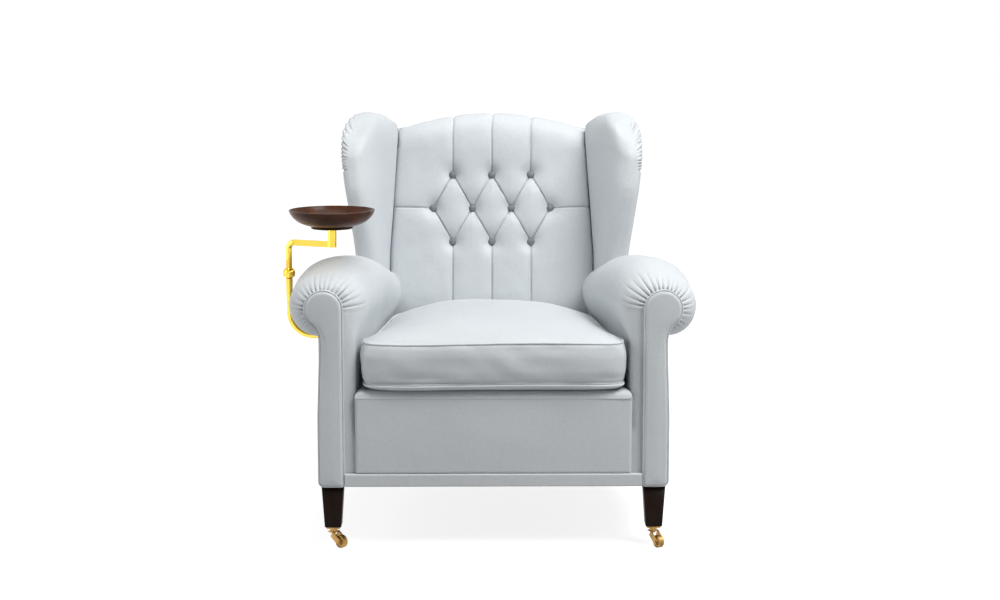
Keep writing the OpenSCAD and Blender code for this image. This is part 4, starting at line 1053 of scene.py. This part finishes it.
class ChairOutside(Operator):
    """Makes the outside arms and the outside back with their piping"""
    bl_idname = "chair.outside"
    bl_label = "Outside panels"

    def execute(self, context):
        for side, seed in ((-1, 81), (1, 83)):
            name = SIDES[side]
            k = np.linspace(0, 1, 110)[None, :] ** 1.3
            run = clamp01(k * (REAR_Y - ARM_Y0) / ROLL_EDGE)
            top = mix(SCROLL_Z - SCROLL_R + TUCK + 5.0, NECK_Z + 6.0, 1 - curl(1 - run))
            up = np.concatenate([[0.0], np.linspace(0, 1, 60)])[:, None]
            z = mix(BODY_Z, top, up)
            y = mix(ARM_Y0, frame_y(z) + FRAME_T - 0.6, k)
            x = mix(facing_side(z) - 0.8, side_x(y) - 0.4, ease((y - ARM_Y0) / 60.0))
            x = x - 5 * curl(clamp01((BODY_Z + 6 - z) / 6))
            x[0] -= PANEL_T
            rows = coords(x, y, z)
            rows[..., 0] += (ripples(rows, (0.9, 150, seed), (0.3, 50, seed + 1))
                             - 0.6) * ease((y - ARM_Y0) / 40.0)
            surface("outside_arm_cover_" + name, rows, side=side, flip=True,
                    replaces=["outside_arm_" + name])
            path = rows[1:, -1] + np.array([1.0, 0.5, 0])
            welt("outside_arm_piping_" + name, path, side=side)
        u = np.linspace(-1, 1, 150)[None, :]
        t = np.linspace(0, 1, 150)[:, None]
        x, w = back_panel(u, t)
        fall = np.maximum(clamp01((np.abs(u) - 0.975) / 0.025), clamp01((t - 0.985) / 0.015))
        rows = lean_back(x, FRAME_T + PANEL_T - 6.0 * curl(fall) - 1.2, w)
        rows[..., 1] += ripples(rows, (0.8, 160, 91), (0.3, 60, 92))
        rows[..., 2] = np.maximum(rows[..., 2], BODY_Z)
        surface("outside_back_cover", rows, replaces=["outside_back"])
        # the piping climbs one side, crosses the top and comes down the other
        up, across = np.linspace(0, 1, 80), np.linspace(1, -1, 120)[1:]
        u = np.concatenate([np.ones(80), across, -np.ones(79)])
        t = np.concatenate([up, np.ones(119), up[-2::-1]])
        x, w = back_panel(u, t)
        path = lean_back(x, FRAME_T + 2.2, w + 0.5 * (t > 0.999))
        path[:, 2] = np.maximum(path[:, 2], BODY_Z + 0.5)
        welt("outside_back_piping", path)
        return {"FINISHED"}


# Legs, casters, timber and tray

LEG_X, LEG_Y, REAR_LEG_X, LEG_SPLAY, LEG_EDGE = 354.0, 34.0, 287.0, 62.0, 2.6


def square_leg(name, levels, material, **rest):
    """A square leg through levels of centre, height and width, with small rounded edges."""
    a = np.radians(np.add.outer(np.arange(4) * 90.0, [0, 22.5, 45, 67.5, 90])).ravel()
    signs = np.repeat([[1, 1], [-1, 1], [-1, -1], [1, -1]], 5, axis=0)
    rings = []
    for x, y, z, width in levels:
        p = signs * (width / 2 - LEG_EDGE) + coords(np.cos(a), np.sin(a)) * LEG_EDGE
        rings.append(coords(x + p[:, 0], y + p[:, 1], z))
    return piece(name, np.concatenate(rings), capped_faces(len(rings), len(a)), material,
                 slot="leg_wood", **rest)


class ChairLegs(Operator):
    """Makes the four dark square legs"""
    bl_idname = "chair.legs"
    bl_label = "Legs"

    def execute(self, context):
        s = settings("chair_woods")
        dark = wood("Near-black brown wood", tuple(s.leg_dark), tuple(s.leg_light), 2,
                    gloss=0.08)
        for side, name in SIDES.items():
            square_leg("front_leg_cover_" + name,
                       [(side * LEG_X, LEG_Y, z, width) for z, width in
                        ((45.0, 33.5), (46.5, 36.0), (48.2, 37.0), (BODY_Z, 48.0))],
                       dark, replaces=["front_leg_" + name])
            y = frame_y(BODY_Z) + FRAME_T / 2
            square_leg("rear_leg_cover_" + name,
                       [(side * REAR_LEG_X, y + LEG_SPLAY * (1 - t) ** 1.35, BODY_Z * t,
                         mix(37.0, 45.0, t)) for t in np.linspace(0, 1, 14)],
                       dark, replaces=["rear_leg_" + name])
        return {"FINISHED"}


class ChairCasters(Operator):
    """Gives the casters their aged brass"""
    bl_idname = "chair.casters"
    bl_label = "Casters"

    def execute(self, context):
        aged = brass("Aged brass", tuple(settings("chair_brasses").aged), srgb(92, 62, 30),
                     0.20, 1.0)
        for part in ("plate", "fork", "axle", "wheel"):
            give(aged, f"caster_{part}_left", f"caster_{part}_right")
        return {"FINISHED"}


class ChairTimber(Operator):
    """Gives the hidden frame, springs, webbing and dust cloth their finishes"""
    bl_idname = "chair.timber"
    bl_label = "Frame and springs"

    def execute(self, context):
        posts = [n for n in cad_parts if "post_" in n and "tray" not in n]
        for way, name, timbers in (
                (0, "Beech across", ["front_rail", "back_rail", "crest_rail", "lumbar_rail",
                                     "corner_blocks"]),
                (1, "Beech along", ["side_rail_left", "side_rail_right", "arm_rail_left",
                                    "arm_rail_right"]),
                (2, "Beech upright", [*posts, "wing_board_left", "wing_board_right"])):
            give(wood(name, srgb(168, 128, 84), srgb(206, 170, 122), way, 0.8, (0.5, 0.7)),
                 *timbers)
        give(woven("Jute webbing", srgb(186, 152, 104), srgb(128, 98, 60), 0.0022),
             "seat_webbing", "back_webbing")
        give(woven("Black dust cloth", srgb(34, 34, 36), srgb(14, 14, 15), 0.0009),
             "dust_cover")
        wire = Nodes("Spring wire")
        grey = wire.ramp(wire.noise(60.0), (0.3, (0.28, 0.28, 0.29)), (0.7, 0.5))
        give(wire.set(Base_Color=grey, Metallic=1.0, Roughness=0.35), "seat_springs")
        return {"FINISHED"}


TRAY_OUTER = [[0.49, 0], [0.50, 0.06], [0.49, 0.10], [0.56, 0.15], [0.68, 0.24],
              [0.80, 0.38], [0.90, 0.58], [0.965, 0.79], [0.99, 0.93], [1, 0.97], [0.99, 1]]
TRAY_INNER = [[0.965, 1], [0.955, 0.96], [0.90, 0.79], [0.81, 0.61], [0.70, 0.46],
              [0.60, 0.38], [0.50, 0.35]]
TRAY_PLACE = np.array([-364.4750, 204.0390, 688.7])
TRAY_R, TRAY_H, TRAY_FOOT, TRAY_FLOOR = 97.5, 42.5, 95.0, 11.0


class ChairTray(Operator):
    """Makes the turned wooden tray"""
    bl_idname = "chair.tray"
    bl_label = "Tray"

    def execute(self, context):
        s = settings("chair_woods")
        walnut = wood("Walnut", tuple(s.tray_dark), tuple(s.tray_light), 0, 0.55, (0.22, 0.36),
                      0.02, 0.14)
        outer = [[TRAY_FOOT * k if k <= 0.5 else mix(TRAY_FOOT / 2, TRAY_R, (k - 0.5) * 2),
                  TRAY_H * v] for k, v in TRAY_OUTER]
        inner = [[TRAY_R * k, mix(TRAY_FLOOR, TRAY_H, (v - 0.35) / 0.65)]
                 for k, v in TRAY_INNER]
        profile = np.concatenate([
            [[0.01, 5.0], [41.0, 5.0], [41.5, 4.6], [41.5, 0.4], [42.0, 0.0], [46.0, 0.0]],
            spline(outer, 5), spline([[96.0, 42.6], *inner], 6),
            [[46.0, 10.9], [40.0, 10.9], [39.0, 10.5], [38.0, 10.9], [0.01, TRAY_FLOOR]]])
        a = np.arange(96) * 2 * math.pi / 96
        r, h = profile[:, :1], profile[:, 1:]
        surface("tray_turned", coords(r * np.cos(a), r * np.sin(a), h) + TRAY_PLACE, walnut,
                loop=True, body="tray", replaces=["tray"], slot="tray_wood")
        return {"FINISHED"}


class ChairBracket(Operator):
    """Gives the tray's bracket and swivel arm their polished brass"""
    bl_idname = "chair.bracket"
    bl_label = "Tray bracket"

    def execute(self, context):
        gold = brass("Polished brass", tuple(settings("chair_brasses").polished),
                     srgb(240, 184, 62), 0.06, 0.0)
        give(gold, "tray_bracket", "bracket_screws", "pivot_ball", "swivel_arm", "tray_post",
             "tray_stem")
        return {"FINISHED"}


# The stage, in metres

LOOK_AT, FLOOR_HALF, WORLD_LIGHT = np.array([0, 0, 0.5]), 30.0, 0.095
LAMPS = (("key", (1.6, -1.5, 3.1), (1.6, 1.6), 95), ("top", (0.0, -0.2, 3.3), (2.4, 2.0), 36),
         ("side left", (-3.0, -0.8, 1.4), (1.6, 2.4), 37),
         ("side right", (3.0, -0.8, 1.4), (1.6, 2.4), 15))


def stand(name, data, place, turn=(0, 0, 0)):
    """Links an object that isn't part of the chair."""
    obj = bpy.data.objects.new(name, data)
    bpy.context.scene.collection.objects.link(obj)
    obj.location = place
    obj.rotation_euler = turn
    return obj


def background_rays(tree):
    """1 for the rays that show the white background: camera, glossy and transmission."""
    path = tree.nodes.new("ShaderNodeLightPath")
    seen = path.outputs["Is Camera Ray"]
    for other in ("Is Glossy Ray", "Is Transmission Ray"):
        seen = combine(tree, "MAXIMUM", seen, path.outputs[other])
    return seen


def floor_material(grey):
    """A floor that glows more away from the chair: its shadow stays, the distance is white."""
    n = Nodes("Pale floor")
    far = n.add("VectorMath", operation="LENGTH", Vector=n.coords)
    white = n.add("MapRange", interpolation_type="SMOOTHSTEP", Value=far.outputs["Value"],
                  From_Min=0.9, From_Max=3.6, To_Min=0.84, To_Max=1.0)
    glow = combine(n.tree, "MULTIPLY", background_rays(n.tree), white.outputs["Result"])
    return n.set(Base_Color=n.ramp(n.noise(3.0), (0.3, grey * 0.99), (0.7, grey)),
                 Roughness=0.85, Specular_IOR_Level=0.1, Emission_Color=(1.0, 1.0, 1.0),
                 Emission_Strength=glow)


class ChairStudio(Operator):
    """Sets the floor, the soft lamps, the world and the camera"""
    bl_idname = "chair.studio"
    bl_label = "Stage"

    def execute(self, context):
        s = settings("chair_stage")
        scene = context.scene
        scene.view_settings.view_transform = "Standard"
        mesh = bpy.data.meshes.new("floor")
        mesh.from_pydata([(x * FLOOR_HALF, y * FLOOR_HALF, 0)
                          for x, y in ((-1, -1), (1, -1), (1, 1), (-1, 1))],
                         [], [(0, 1, 2, 3)])
        mesh.materials.append(floor_material(s.floor))
        floor = stand("floor", mesh, (0, 0, 0))
        for name, place, size, watts in LAMPS:
            light = bpy.data.lights.new(name, "AREA")
            light.shape = "RECTANGLE"
            light.size, light.size_y = size
            light.energy = watts * s.lamp_power
            x, y, z = LOOK_AT - place
            stand(name, light, place, (math.acos(-z / math.hypot(x, y, z)), 0,
                                       math.atan2(y, x) - QUARTER))
        world = bpy.data.worlds.new("Studio")
        scene.world = world
        world.use_nodes = True
        tree = world.node_tree
        strength = tree.nodes.new("ShaderNodeMapRange")
        strength.inputs["To Min"].default_value = WORLD_LIGHT
        tree.links.new(background_rays(tree), strength.inputs["Value"])
        background = tree.nodes["Background"]
        background.inputs["Color"].default_value = (1, 1, 1, 1)
        tree.links.new(strength.outputs["Result"], background.inputs["Strength"])
        data = bpy.data.cameras.new("Camera")
        data.sensor_width = 36.0
        data.lens = 64.16
        data.shift_y = -0.05
        data.clip_end = 100.0
        scene.camera = stand("Camera", data, (-0.0141, -4.1875, 1.1302),
                             (math.radians(90 - 6.976), 0, math.radians(-0.631)))
        return {"FINISHED"}


PIECES = (ChairArms, ChairFacings, ChairWings, ChairBack, ChairButtons, ChairCushion,
          ChairFront, ChairOutside, ChairLegs, ChairCasters, ChairTimber, ChairTray,
          ChairBracket, ChairStudio)


class CHAIR_PT_pieces(Panel):
    """Lists the chair's pieces and their sizes"""
    bl_idname = "CHAIR_PT_pieces"
    bl_label = "Wing chair"
    bl_space_type = "VIEW_3D"
    bl_region_type = "UI"
    bl_category = "Chair"

    def draw(self, context):
        for name, group in GROUPS:
            box = self.layout.box()
            for key in group.__annotations__:
                box.prop(settings(name), key)
        for operator in PIECES:
            self.layout.operator(operator.bl_idname)


def register():
    for name, group in GROUPS:
        bpy.utils.register_class(group)
        setattr(bpy.types.Scene, name, PointerProperty(type=group))
    for cls in (*PIECES, CHAIR_PT_pieces):
        bpy.utils.register_class(cls)


def unregister():
    for cls in (*PIECES, CHAIR_PT_pieces):
        bpy.utils.unregister_class(cls)
    for name, group in GROUPS:
        delattr(bpy.types.Scene, name)
        bpy.utils.unregister_class(group)


def main():
    register()
    for operator in PIECES:
        group, call = operator.bl_idname.split(".")
        getattr(getattr(bpy.ops, group), call)()


if __name__ == "__main__":
    main()
